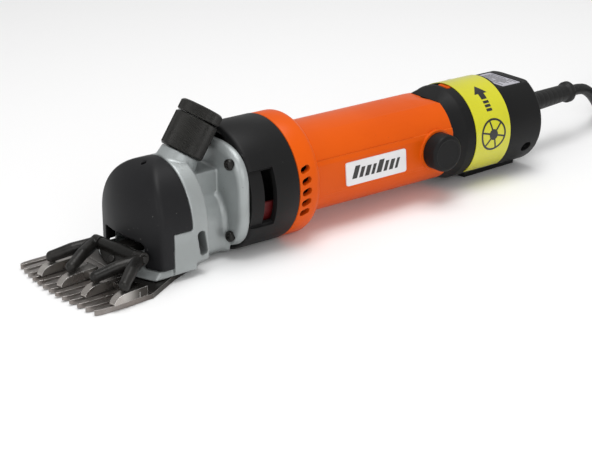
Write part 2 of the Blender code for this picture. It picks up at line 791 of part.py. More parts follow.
def nut_frame():
    """An empty whose Z axis is the tension pin's line."""
    made = bpy.data.objects.new("tension_axis", None)
    bpy.context.scene.collection.objects.link(made)
    made.parent = handle
    made.location = Vector((nut_base_x, 0, nut_base_z)) * mm
    made.rotation_euler = (0, radians(-nut_lean), 0)
    return made


def make_tension(axis):
    """Knurled nut, its ring and the pin that it presses on the fork."""
    nut_profile = [(0, nut_bore), (nut_length, nut_bore), (nut_length, nut_radius - 0.9),
                   (nut_length - 0.6, nut_radius), (0.8, nut_radius), (0, nut_radius - 0.8)]
    low = nut_length + nut_groove
    top = low + nut_ring_length
    shapes = (
        ("tension_nut", turned(nut_profile, 40, closed=True)),
        ("nut_lock_ring", turned([(low, 0), (low, nut_radius - 0.4), (low + 0.4, nut_radius),
                                  (top - 0.9, nut_radius), (top, nut_radius - 0.7), (top, 0)], 40)),
    )
    for name, shape in shapes:
        turn_shape(shape, -90, "Y")
        add(name, shape, "black_oxide", parent=axis)
    fork_top = on_handle(nut_base_x, 0, nut_base_z).z - fork_height - fork_thickness / 2
    reach = fork_top / cos(radians(nut_lean)) - 2.2 / cos(radians(nut_lean)) - 3.2
    pin = add("tension_pin", rod((0, 0, -reach), (0, 0, nut_length - 1.0), tension_pin_radius, steps=16),
              "bright_steel", parent=axis)
    join(pin, rod((0, 0, -reach - 1.6), (0, 0, -reach + 0.2), 1.6, tension_pin_radius, 16), axis)
    return pin


# Drive

def gear_outline(teeth, turn=0.0):
    """A gear's outline with straight flanks."""
    pitch_radius = gear_module * teeth / 2
    outer = pitch_radius + gear_module - gear_root_gap
    root = pitch_radius - 1.25 * gear_module
    points = []
    for index in range(teeth):
        middle = 360 * index / teeth + turn
        for radius, half in ((root, 0.34), (outer, 0.10), (outer, -0.10), (root, -0.34)):
            t = radians(middle - half * 360 / teeth)
            points.append((radius * cos(t), radius * sin(t)))
    return points


def make_crank():
    z = crank_z()
    roller_x = pivot_x + comb_reach - crank_reach
    disc_x = roller_x - roller_length / 2 - 5.0
    pin_y = -crank_throw
    shaft = add("crankshaft", turned([(gear_x - 2, 0), (gear_x - 2, 3.9), (disc_x, 3.9), (disc_x, 0)], 20, (0, z)),
                "gear_steel", parent=handle, origin=(gear_x, 0, z))
    join(shaft, turned([(disc_x - 0.4, 0), (disc_x - 0.4, 7.0), (disc_x + 2.2, 7.0), (disc_x + 2.2, 0)], 24, (0, z)),
         handle)
    join(shaft, turned([(disc_x + 1, 0), (disc_x + 1, crank_pin_radius),
                        (roller_x + roller_length / 2 + 0.4, crank_pin_radius),
                        (roller_x + roller_length / 2 + 0.4, 0)], 14, (pin_y, z)), handle)
    add("crank_roller", ring(roller_x - roller_length / 2, roller_x + roller_length / 2,
                             crank_pin_radius + 0.25, roller_radius, 20, (pin_y, z)),
        "bright_steel", parent=handle, origin=(roller_x, pin_y, z))
    # A tooth of the wheel points at the pinion's centre, between two of the pinion's teeth
    wheel = extruded(gear_outline(gear_teeth, 90), gear_x, gear_x + gear_width, "X")
    bmesh.ops.translate(wheel, verts=wheel.verts, vec=(0, 0, z))
    gear = add("driven_gear", wheel, "gear_steel", parent=handle, origin=(gear_x, 0, z))
    cut(gear, turned([(gear_x - 3, 0), (gear_x - 3, 3.9 + gap), (gear_x + gear_width + 3, 3.9 + gap),
                      (gear_x + gear_width + 3, 0)], 20, (0, z)), handle)


def make_crank_bearings():
    hub = case_length - 4.5
    for name, x in (("crank_bearing_rear", hub + 0.1), ("crank_bearing_front", hub + bearing_width + 0.4)):
        add(name, ring(x, x + bearing_width, 3.9 + gap, bearing_outer, 24, (0, crank_z())), "bright_steel",
            parent=handle, origin=(x, 0, crank_z()))


def make_case():
    """The gear case: a tube with a wall towards the motor and an air window in each side."""
    profile = [(gap, case_radius - 0.6), (gap + 0.8, case_radius), (case_length - 2.5, case_radius),
               (case_length, case_radius - 1.2), (case_length, case_radius - case_wall),
               (9.5, case_radius - case_wall), (9.5, bearing_outer + 3), (9.5, bearing_outer + gap),
               (gap, bearing_outer + gap)]
    case = add("gear_case", turned(profile, 48, closed=True), "black_plastic", parent=handle)
    for side in (1, -1):
        window = window_wedge(case_radius - case_window_depth, case_radius + 3, case_window_rear, case_length + 2,
                              case_window_low, case_window_high)
        slot = window_wedge(case_radius - case_wall - 2, case_radius + 3, case_window_rear,
                            case_window_rear + case_slot_length, case_window_low + 1, case_window_high - 1)
        for shape in (window, slot):
            if side < 0:
                bmesh.ops.scale(shape, verts=shape.verts, vec=(1, -1, 1))
            cut(case, shape, handle)
        for height in (-1, 1):
            at = (side * flange_screw_y, height * flange_screw_z)
            lug = turned([(case_length - 9, 0), (case_length - 9, 4.6), (case_length, 4.6), (case_length, 0)], 16, at)
            join(case, lug, handle)
            cut(case, turned([(case_length - 4, 0), (case_length - 4, flange_screw_radius + gap),
                              (case_length + 2, flange_screw_radius + gap), (case_length + 2, 0)], 12, at), handle)
    return case


def window_wedge(inner, outer, low, high, first, last):
    """A curved block between two radii and two angles, along X."""
    steps = 8
    outline = arc((0, 0), outer, first, last, steps) + arc((0, 0), inner, last, first, steps)
    return extruded(outline, low, high, "X")


def make_motor_housing():
    corner = collar_radius - grip_radius
    profile = [(0, collar_radius - 0.5), (-0.6, collar_radius), (-collar_length, collar_radius)]
    profile += [(-collar_length - 4.6 * sin(radians(a)), collar_radius - 4.6 * (1 - cos(radians(a))))
                for a in (20, 40, 60, 80)]
    profile += [(-collar_length - 5.0, grip_radius + corner * 0.32), (-collar_length - 5.9, grip_radius + 1.0),
                (-collar_length - 8.2, grip_radius), (-motor_length, grip_radius)]
    profile += [(-motor_length, grip_bore), (-collar_bore_depth - 4, grip_bore), (-collar_bore_depth, collar_bore),
                (0, collar_bore)]
    housing = add("motor_housing", turned(profile, 48, closed=True), "housing_orange", parent=handle)
    grip_front = -collar_length - 8.2
    for side in (-1, 1):
        flat = sorted((side * side_flat, side * (grip_radius + 8)))
        cut(housing, block((-motor_length - 5, flat[0], -side_flat_height), (grip_front, flat[1], side_flat_height)),
            handle)
        pad = rod((brush_x, side * (grip_bore + 1.2), 0), (brush_x, side * (grip_radius + 0.1), 0),
                  brush_cap_radius + 1.2, steps=32)
        join(housing, pad, handle)
        hole = rod((brush_x, side * (grip_bore - 4), 0), (brush_x, side * (grip_radius + 4), 0),
                   brush_tube_radius + gap, steps=20)
        cut(housing, hole, handle)
        for index in range(vent_count):
            z = vent_middle + (index - (vent_count - 1) / 2) * vent_pitch
            cut(housing, vent_shape(z, side), handle)
    # The pad round the brush cap ends with the housing, and the top is flat where the tail begins
    cut(housing, block((-motor_length - 20, -60, -60), (-motor_length, 60, 60)), handle)
    ramp = block((-40, -30, 0), (60, 30, 20))
    turn_shape(ramp, -degrees(atan2(grip_radius - tail_flat_z, tail_flat_ramp)), "Y")
    bmesh.ops.translate(ramp, verts=ramp.verts, vec=(-motor_length, 0, tail_flat_z))
    cut(housing, ramp, handle)
    return housing


def vent_shape(z, side):
    """A slanted slot with round ends, cut sideways through the collar."""
    half = vent_height / 2
    run = vent_length / 2 - half
    outline = arc((run, 0), half, -90, 90, 4) + arc((-run, 0), half, 90, 270, 4)
    span = sorted((side * (collar_bore - 9), side * (collar_radius + 4)))
    shape = extruded(outline, span[0], span[1], "Y")
    turn_shape(shape, vent_slant, "Y")
    bmesh.ops.translate(shape, verts=shape.verts, vec=(vent_x, 0, z))
    return shape


def make_armature():
    rear = -motor_length - 8.0
    pinion_end = gear_x + gear_width + 0.2
    profile = [(rear, 0), (rear, shaft_radius), (pinion_end - pinion_length, shaft_radius),
               (pinion_end - pinion_length, 0)]
    shaft = add("armature_shaft", turned(profile, 20), "gear_steel", parent=handle)
    join(shaft, extruded(gear_outline(pinion_teeth, 270 + 180 / pinion_teeth), pinion_end - pinion_length - 0.5,
                         pinion_end, "X"), handle)
    front = armature_rear_x + armature_length
    bore = shaft_radius + gap
    core = add("armature_core", ring(armature_rear_x, front, bore, armature_radius, 24), "core_steel", parent=handle)
    for index in range(8):
        angle = 45 * index
        slot = block((armature_rear_x - 1, -0.9, armature_radius - 3.2), (front + 1, 0.9, armature_radius + 1))
        cut(core, turn_shape(slot, angle, "X"), handle)
    add("armature_winding_front", turned([(front + gap, bore), (front + 8, bore), (front + 8, 8.5),
                                          (front + 6, 12.2), (front + gap, 12.8)], 20, closed=True),
        "copper", parent=handle)
    add("armature_winding_rear", turned([(armature_rear_x - gap, bore), (armature_rear_x - 8, bore),
                                         (armature_rear_x - 8, 8.5), (armature_rear_x - 6, 12.2),
                                         (armature_rear_x - gap, 12.8)], 20, closed=True),
        "copper", parent=handle)
    middle = brush_x
    add("commutator", ring(middle - commutator_length / 2, middle + commutator_length / 2, bore,
                           commutator_radius, 24), "copper", parent=handle)
    return front


def make_fan():
    """A disc with radial blades, just inside the collar."""
    bore = shaft_radius + gap
    fan = add("cooling_fan", turned([(-11.5, bore), (-3.0, bore), (-3.0, 7), (-10.0, 9), (-10.0, fan_radius),
                                     (-11.5, fan_radius)], 27, closed=True), "black_plastic", parent=handle)
    for index in range(fan_blades):
        blade = block((-10.6, -0.7, 8.0), (-3.4, 0.7, fan_radius - 0.6))
        join(fan, turn_shape(blade, 360 * index / fan_blades, "X"), handle)
    return fan


def make_motor_fixed(armature_front):
    add("motor_bearing_front", ring(2.4, 2.4 + bearing_length, shaft_radius + gap, bearing_outer, 24),
        "bright_steel", parent=handle)
    rear = -motor_length - bearing_length - 0.6
    add("motor_bearing_rear", ring(rear, rear + bearing_length, shaft_radius + gap, bearing_outer, 24),
        "bright_steel", parent=handle)
    inner = armature_radius + air_gap
    outer = grip_bore - gap
    add("stator_core", ring(armature_rear_x, armature_front, inner, outer, 24), "core_steel", parent=handle)
    add("field_coil_front", ring(armature_front + gap, armature_front + 9, inner, outer - 1.4, 24), "copper",
        parent=handle)
    add("field_coil_rear", ring(armature_rear_x - 9, armature_rear_x - gap, inner, outer - 1.4, 24), "copper",
        parent=handle)
    low = case_window_rear - 4.5
    deflector = add("air_deflector", ring(low, low + 10, case_radius - case_wall - 3.4, case_radius - case_wall - 1.6,
                                          40), "red_fibre", parent=handle)
    cut(deflector, block((low - 2, -40, deflector_top), (low + 20, 40, 40)), handle)


def make_brushes():
    for side, name in ((-1, "right"), (1, "left")):
        inner = side * (commutator_radius + 2.2)
        outer = side * (grip_radius - 0.9)
        tube = add(f"brush_holder_{name}", rod((brush_x, inner, 0), (brush_x, outer, 0), brush_tube_radius, steps=20),
                   "brass", parent=handle, origin=(brush_x, inner, 0))
        span = sorted((inner - side * 2, outer + side * 2))
        clear = brush_width / 2 + gap
        cut(tube, block((brush_x - brush_height / 2 - gap, span[0], -clear),
                        (brush_x + brush_height / 2 + gap, span[1], clear)), handle)
        brush = sorted((side * (commutator_radius + gap), side * (commutator_radius + 9.5)))
        add(f"carbon_brush_{name}", block((brush_x - brush_height / 2, brush[0], -brush_width / 2),
                                          (brush_x + brush_height / 2, brush[1], brush_width / 2)),
            "carbon", parent=handle, origin=(brush_x, brush[0], 0))
        # The cap's profile runs outward from the pad
        low = grip_radius + 0.1 + gap
        profile = [(low, 0), (low, brush_cap_radius), (brush_cap_y - 0.9, brush_cap_radius - 0.4),
                   (brush_cap_y, brush_cap_radius - 1.4), (brush_cap_y, 0)]
        cap = turned(profile, 32)
        turn_shape(cap, 90 * side, "Z")
        bmesh.ops.translate(cap, verts=cap.verts, vec=(brush_x, 0, 0))
        add(f"brush_cap_{name}", cap, "black_plastic", parent=handle, origin=(brush_x, side * low, 0))


# Tail

def tail_profile():
    front = -motor_length - gap
    rear = -motor_length - tail_length
    outside = [(front, grip_radius - 0.2), (front - tail_collar_length + 1.5, tail_radius - 0.5),
               (front - tail_collar_length, tail_radius), (rear + 3.0, tail_radius)]
    outside += [(rear + 3.0 * (1 - sin(radians(a))), tail_radius - 3.0 * (1 - cos(radians(a))))
                for a in (30, 60, 90)]
    inner = tail_radius - tail_wall
    inside = [(rear, 3.6), (rear + 3.4, 3.6), (rear + 3.4, inner - 3), (rear + 6, inner - 1.2),
              (front - tail_collar_length, inner - 1.2), (front - tail_collar_length, bearing_outer + 3),
              (front - tail_collar_length, shaft_radius + 1), (front - tail_collar_length + 2, shaft_radius + 1),
              (front - tail_collar_length + 2, bearing_outer + gap), (front, bearing_outer + gap)]
    return outside + inside


def make_tail():
    rear = -motor_length - tail_length
    tail = add("tail_cover", turned(tail_profile(), 48, closed=True), "black_plastic", parent=handle,
               origin=(-motor_length, 0, 0))
    # A ramp from the housing's flat top up to the collar
    ramp = block((-40, -30, 0), (40, 30, 20))
    turn_shape(ramp, degrees(atan2(tail_radius - tail_flat_z, tail_collar_length)), "Y")
    bmesh.ops.translate(ramp, verts=ramp.verts, vec=(-motor_length, 0, tail_flat_z))
    cut(tail, ramp, handle)
    # Flat top at the rear, with a seat for the rating plate
    cut(tail, block((rear - 5, -40, tail_top_z), (rear + tail_top_length, 40, 60)), handle)
    plate_x = plate_rear()
    cut(tail, block((plate_x - gap, -plate_width / 2 - gap, tail_top_z - plate_thickness - 0.4),
                    (plate_x + plate_length + gap, plate_width / 2 + gap, 60)), handle)
    # Pocket for the switch's knob, and the slot for its stem
    low_x = switch_x - switch_pocket_length / 2
    high_x = switch_x + switch_pocket_length / 2
    pocket = block((low_x, -switch_pocket_width / 2, tail_radius - switch_pocket_depth),
                   (high_x, switch_pocket_width / 2, tail_radius + 6), 1.2)
    cut(tail, pocket, handle)
    cut(tail, block((low_x + 2.2, -2.2, tail_radius - switch_pocket_depth - 8),
                    (high_x - 2.2, 2.2, tail_radius)), handle)
    for side in (-1, 1):
        angle = tail_screw_angle if side > 0 else 180 - tail_screw_angle
        well = rod((tail_screw_x, 0, tail_radius - 6.4), (tail_screw_x, 0, tail_radius + 4), 3.6, steps=20)
        turn_shape(well, angle - 90, "X")
        cut(tail, well, handle)
    # The foot stands on the table, so it is made in the world's frame
    foot_rear = foot_front_x - foot_length - comb_reach
    front_z = on_handle(0, 0, -tail_radius + 3).z - 1.0
    foot = block((foot_rear, -foot_width / 2, 0), (foot_front_x - comb_reach, foot_width / 2, front_z), 0.5, 1)
    join(tail, foot)
    return tail


def plate_rear():
    return -motor_length - tail_length + 6.0


def make_tail_screws():
    for side, name in ((-1, "right"), (1, "left")):
        angle = tail_screw_angle if side > 0 else 180 - tail_screw_angle
        low = tail_radius - 6.4 + gap
        screw = rod((tail_screw_x, 0, low), (tail_screw_x, 0, low + 2.2), 2.9, steps=16)
        slot_a = block((tail_screw_x - 2.0, -0.35, low + 1.3), (tail_screw_x + 2.0, 0.35, low + 4))
        slot_b = block((tail_screw_x - 0.35, -2.0, low + 1.3), (tail_screw_x + 0.35, 2.0, low + 4))
        made = add(f"tail_screw_{name}", turn_shape(screw, angle - 90, "X"), "bright_steel", parent=handle)
        for slot in (slot_a, slot_b):
            cut(made, turn_shape(slot, angle - 90, "X"), handle)


def make_switch():
    """An orange knob in the pocket, on a body inside the tail."""
    floor = tail_radius - switch_pocket_depth + gap
    knob_x = switch_x + switch_travel / 2
    knob = add("switch_knob", block((knob_x - switch_knob_length / 2, -4.2, floor),
                                    (knob_x + switch_knob_length / 2, 4.2, tail_radius - 0.5), 0.5),
               "housing_orange", parent=handle, origin=(knob_x, 0, floor))
    stem_low = tail_radius - tail_wall - 4.2
    join(knob, block((knob_x - 1.8, -1.6, stem_low), (knob_x + 1.8, 1.6, floor + 1)), handle)
    top = stem_low - gap
    add("switch_body", block((switch_x - 13, -7.5, top - 13), (switch_x + 9, 7.5, top), 0.8), "black_plastic",
        parent=handle, origin=(switch_x, 0, top))


def make_label():
    """A printed band round the tail that ends above the foot on both sides."""
    inner = tail_radius + 0.08
    outer = inner + label_thickness
    first = label_end_angle
    last = 180 - label_end_angle
    outline = arc((0, 0), outer, first, last, 34) + arc((0, 0), inner, last, first, 34)
    return add("wrap_label", extruded(outline, label_x - label_width, label_x, "X"), "label_yellow", parent=handle)


def make_plates():
    x = plate_rear()
    add("rating_plate", block((x, -plate_width / 2, tail_top_z - plate_thickness - 0.1),
                              (x + plate_length, plate_width / 2, tail_top_z - 0.1)), "plate_foil", parent=handle)
    face = side_flat + gap
    add("side_badge", block((badge_front_x - badge_length, face, -badge_height / 2 - 1.0),
                            (badge_front_x, face + badge_thickness, badge_height / 2 - 1.0)),
        "badge_white", parent=handle)


# Mains cord

def guard_frame():
    """An empty at the root of the cord guard, with X running out along it."""
    made = bpy.data.objects.new("guard_axis", None)
    bpy.context.scene.collection.objects.link(made)
    made.parent = handle
    made.location = Vector((-motor_length - tail_length, 0, guard_z)) * mm
    made.rotation_euler = (0, 0, radians(180 + guard_yaw))
    return made


def make_guard(axis):
    bore = cord_diameter / 2 + gap
    low = gap + guard_root_radius * sin(radians(guard_yaw))
    bead = guard_length - 5
    profile = [(low, bore), (guard_length, bore), (guard_length, guard_bead_radius - 1.2),
               (guard_length - 1.2, guard_bead_radius), (bead + 1.2, guard_bead_radius),
               (bead, guard_bead_radius - 0.9), (bead - 0.6, guard_end_radius), (low, guard_root_radius)]
    add("cord_guard", turned(profile, 28, closed=True), "rubber", parent=axis)


def smooth_route(points, spacing):
    """Points at an even spacing along a Catmull-Rom curve through the given ones."""
    ends = [points[0] * 2 - points[1]] + points + [points[-1] * 2 - points[-2]]
    fine = []
    for a, b, c, d in zip(ends, ends[1:], ends[2:], ends[3:]):
        for step in range(24):
            t = step / 24
            fine.append(0.5 * ((2 * b) + (c - a) * t + (2 * a - 5 * b + 4 * c - d) * t ** 2
                               + (3 * b - a - 3 * c + d) * t ** 3))
    fine.append(points[-1])
    total = sum((q - p).length for p, q in zip(fine, fine[1:]))
    count = max(2, round(total / spacing))
    chosen = [fine[0]]
    walked = 0.0
    for p, q in zip(fine, fine[1:]):
        walked += (q - p).length
        if walked >= len(chosen) * total / count and len(chosen) < count:
            chosen.append(q)
    return chosen + [fine[-1]]


def cord_tube(name, route):
    """The plain tube of one stretch of cord that isn't coiled."""
    points = smooth_route([Vector(point) for point in route], cord_diameter * 2.4)
    curve = bpy.data.curves.new(name, "CURVE")
    curve.dimensions = "3D"
    curve.bevel_depth = cord_diameter / 2 * mm
    curve.bevel_resolution = 3
    curve.use_fill_caps = True
    spline = curve.splines.new("POLY")
    spline.points.add(len(points) - 1)
    for slot, point in zip(spline.points, points):
        slot.co = (*(point * mm), 1)
    made = bpy.data.objects.new(name, curve)
    bpy.context.scene.collection.objects.link(made)
    curve.materials.append(finish("rubber"))
    return made


def make_cord():
    yaw = radians(guard_yaw)
    out = Vector((-cos(yaw), -sin(yaw), 0))
    root = Vector((-motor_length - tail_length, 0, guard_z))
    start = on_handle(*(root + out * (guard_length + gap)))
    lie = cord_diameter / 2
    coil_low = tie_thickness + gap
    entry = beside_coil(coil_entry_angle, lie)
    along = Vector((-sin(radians(coil_entry_angle)), cos(radians(coil_entry_angle)), 0))
    route = [start, start + Vector((-12.8, -1.3, -1.4)), start + Vector((-22.8, -4.1, -6.4)),
             start + Vector((-33.8, -8.9, -14.6)), (start.x - 45.8, start.y - 16.1, lie + 3.2),
             (start.x - 56.7, start.y - 23.7, lie + 0.2), entry + along * 10, entry]
    cord_tube("power_cord", route)
    ring_shape = bmesh.new()
    profile = [(coil_inner_radius, coil_low + 4), (coil_inner_radius + 3, coil_low),
               (coil_outer_radius - 3, coil_low), (coil_outer_radius, coil_low + 4),
               (coil_outer_radius, coil_low + coil_height - 4), (coil_outer_radius - 3, coil_low + coil_height),
               (coil_inner_radius + 3, coil_low + coil_height), (coil_inner_radius, coil_low + coil_height - 4)]
    points = [ring_shape.verts.new((r, 0, z)) for r, z in profile]
    edges = [ring_shape.edges.new(pair) for pair in zip(points, points[1:] + points[:1])]
    bmesh.ops.spin(ring_shape, geom=points + edges, axis=(0, 0, 1), cent=(0, 0, 0), angle=2 * pi, steps=30)
    bmesh.ops.translate(ring_shape, verts=ring_shape.verts, vec=(coil_x, coil_y, 0))
    add("cord_coil", ring_shape, "rubber", origin=(coil_x, coil_y, 0))
    make_tie(coil_low)
    make_plug(lie)


def beside_coil(angle, z):
    """A point where a cord touches the outside of the coil."""
    reach = coil_outer_radius + gap + cord_diameter / 2
    return Vector((coil_x + reach * cos(radians(angle)), coil_y + reach * sin(radians(angle)), z))


def make_tie(coil_low):
    """A strap round the coil's turns, on the side towards the tail."""
    middle = coil_x + (coil_inner_radius + coil_outer_radius) / 2
    half = (coil_outer_radius - coil_inner_radius) / 2 + tie_slack
    top = coil_low + coil_height + gap
    strap = add("coil_tie", block((middle - half - tie_thickness, coil_y - tie_width / 2, 0),
                                  (middle + half + tie_thickness, coil_y + tie_width / 2, top + tie_thickness)),
                "rubber", origin=(middle, coil_y, 0))
    cut(strap, block((middle - half, coil_y - tie_width, coil_low - gap), (middle + half, coil_y + tie_width, top)))


def make_plug(lie):
    """A flat two-pin plug lying beside the coil, and the lead to it."""
    leave = beside_coil(coil_leave_angle, lie)
    nose = Vector((coil_x + plug_forward, coil_y + coil_outer_radius + plug_to_coil + plug_width / 2, plug_height / 2))
    lead_end = nose + Vector((-6.6, 0, 0))
    cord_tube("plug_lead", [leave, leave + Vector((8, 8, 0)), (nose.x - 28, nose.y - 4.5, lie + 0.6),
                            (nose.x - 17, nose.y - 0.8, lie + 2.4), tuple(lead_end)])
    low = nose + Vector((0, -plug_width / 2, -plug_height / 2))
    body = add("plug_body", block(low, low + Vector((plug_length, plug_width, plug_height)), 3.0), "black_plastic",
               origin=nose)
    join(body, turned([(nose.x - 6, 0), (nose.x - 6, 4.4), (nose.x + 2, 5.6), (nose.x + 2, 0)], 20,
                      (nose.y, nose.z)))
    for side, name in ((-1, "right"), (1, "left")):
        start = nose + Vector((plug_length + gap, side * plug_pin_spacing / 2, 0))
        add(f"plug_pin_{name}", rod(start, start + Vector((plug_pin_length, 0, 0)), plug_pin_radius), "brass",
            origin=start)


make_comb()
make_comb_screws()
make_cutter()
make_fork()
make_yokes()
make_crosshead_rivet()
make_post()
make_hood()
make_head()
make_flange_screws()
make_tension(nut_frame())
make_crank()
make_crank_bearings()
make_case()
make_motor_housing()
front = make_armature()
make_fan()
make_motor_fixed(front)
make_brushes()
make_tail()
make_tail_screws()
make_switch()
make_label()
make_plates()
make_guard(guard_frame())
make_cord()
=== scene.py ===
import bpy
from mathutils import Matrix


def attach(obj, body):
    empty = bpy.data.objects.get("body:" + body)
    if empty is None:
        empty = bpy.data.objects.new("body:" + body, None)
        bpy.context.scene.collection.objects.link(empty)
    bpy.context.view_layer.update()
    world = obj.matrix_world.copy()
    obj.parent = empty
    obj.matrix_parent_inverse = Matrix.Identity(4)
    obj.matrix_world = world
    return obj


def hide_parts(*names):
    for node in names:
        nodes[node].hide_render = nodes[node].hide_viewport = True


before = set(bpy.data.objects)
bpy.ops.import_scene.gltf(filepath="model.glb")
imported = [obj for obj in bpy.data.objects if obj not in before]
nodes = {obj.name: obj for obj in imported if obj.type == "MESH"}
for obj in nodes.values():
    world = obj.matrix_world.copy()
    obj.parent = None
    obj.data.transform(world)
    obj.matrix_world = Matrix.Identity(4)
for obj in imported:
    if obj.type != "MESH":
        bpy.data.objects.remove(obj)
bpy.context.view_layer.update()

from math import atan2, cos, degrees, pi, radians, sin, sqrt, tan

import bmesh
import bpy
from mathutils import Matrix, Vector

scene = bpy.context.scene
mm = 0.001

# Sizes are millimetres. x = 0 of the handle's frame is the front of the motor housing
pitch = 1.1
axisHeight = 32.1
combReach = 68.6
swing = 9.5
pivotX = -8.6
combTop = 2.9
gap = 0.3
nutLean = 34.0
nutBase = Vector((52.2, 0, 24.0))
guardRoot = Vector((-187.0, 0, 2.6))
guardYaw = 5.0
guardLength = 55.5
onTable = Matrix.Identity(4)
onHandle = Matrix.Translation((-combReach, 0, axisHeight)) @ Matrix.Rotation(radians(-pitch), 4, "Y")
onFork = Matrix.Translation((pivotX, 0, 0)) @ Matrix.Rotation(radians(swing), 4, "Z")
onNut = onHandle @ Matrix.Translation(nutBase) @ Matrix.Rotation(radians(-nutLean), 4, "Y")
onGuard = onHandle @ Matrix.Translation(guardRoot) @ Matrix.Rotation(radians(180 + guardYaw), 4, "Z")


# Camera, light and floor

def makeCamera():
    view = {"azimuth": 142.526, "elevation": 21.147, "distance": 890.06, "right": 18.367, "up": -26.942,
            "lens": 99.943}
    a = radians(view["azimuth"])
    e = radians(view["elevation"])
    back = Vector((sin(a) * cos(e), -cos(a) * cos(e), sin(e)))
    right = Vector((cos(a), sin(a), 0))
    up = back.cross(right)
    place = back * view["distance"] + right * view["right"] + up * view["up"]
    turn = Matrix((right, up, back)).transposed().to_4x4()
    world = onHandle @ Matrix.Translation(place) @ turn
    world.translation *= mm
    camera = bpy.data.cameras.new("camera")
    camera.lens = view["lens"]
    camera.sensor_width = 36
    camera.clip_start = 0.05
    camera.clip_end = 20
    made = bpy.data.objects.new("camera", camera)
    scene.collection.objects.link(made)
    made.matrix_world = world
    scene.camera = made


def addLight(name, place, target, size, energy):
    lamp = bpy.data.lights.new(name, "AREA")
    lamp.shape = "RECTANGLE"
    lamp.size = size[0]
    lamp.size_y = size[1]
    lamp.energy = energy
    made = bpy.data.objects.new(name, lamp)
    scene.collection.objects.link(made)
    made.location = place
    made.rotation_euler = (Vector(target) - Vector(place)).to_track_quat("-Z", "Y").to_euler()


def makeStudio():
    world = bpy.data.worlds.new("studio")
    scene.world = world
    world.use_nodes = True
    sky = world.node_tree.nodes["Background"]
    sky.inputs["Color"].default_value = (1, 1, 1, 1)
    sky.inputs["Strength"].default_value = 0.50
    addLight("lightOverhead", (-0.15, 0.05, 1.1), (-0.1, 0.0, 0.0), (0.9, 0.5), 7.0)
    addLight("lightNear", (0.25, 1.15, 0.55), (-0.05, 0.0, 0.03), (1.0, 0.6), 3.4)
    addLight("lightNose", (1.1, 0.25, 0.6), (0.0, 0.0, 0.03), (0.6, 0.6), 2.8)
    mesh = bpy.data.meshes.new("floor")
    mesh.from_pydata([(-4, -4, -0.0002), (4, -4, -0.0002), (4, 4, -0.0002), (-4, 4, -0.0002)], [],
                     [(0, 1, 2, 3)])
    floor = bpy.data.objects.new("floor", mesh)
    scene.collection.objects.link(floor)
    paper = bpy.data.materials.new("paper")
    paper.use_nodes = True
    tree = paper.node_tree
    shader = tree.nodes["Principled BSDF"]
    shader.inputs["Roughness"].default_value = 0.75
    where = tree.nodes.new("ShaderNodeTexCoord")
    noise = tree.nodes.new("ShaderNodeTexNoise")
    noise.inputs["Scale"].default_value = 900
    ramp = tree.nodes.new("ShaderNodeValToRGB")
    ramp.color_ramp.elements[0].color = (0.93, 0.93, 0.93, 1)
    ramp.color_ramp.elements[1].color = (0.96, 0.96, 0.96, 1)
    tree.links.new(where.outputs["Object"], noise.inputs["Vector"])
    tree.links.new(noise.outputs["Fac"], ramp.inputs["Fac"])
    tree.links.new(ramp.outputs["Color"], shader.inputs["Base Color"])
    mesh.materials.append(paper)
    scene.view_settings.view_transform = "Standard"


makeCamera()
makeStudio()
print("camera and studio")


# Materials

plainLook = {"base": (0.5, 0.5, 0.5), "second": None, "patchScale": 60, "patch": 0.5, "rough": 0.4,
             "spread": 0.1, "metal": 0.0, "grain": 0.02, "grainScale": 1500, "stretch": (1, 1, 1),
             "edge": None, "edgeShare": 0.5, "round": 0.0004, "speck": None, "speckShare": 0.05,
             "speckScale": 900, "coat": 0.0, "spec": 0.5, "paintedShadeX": None}

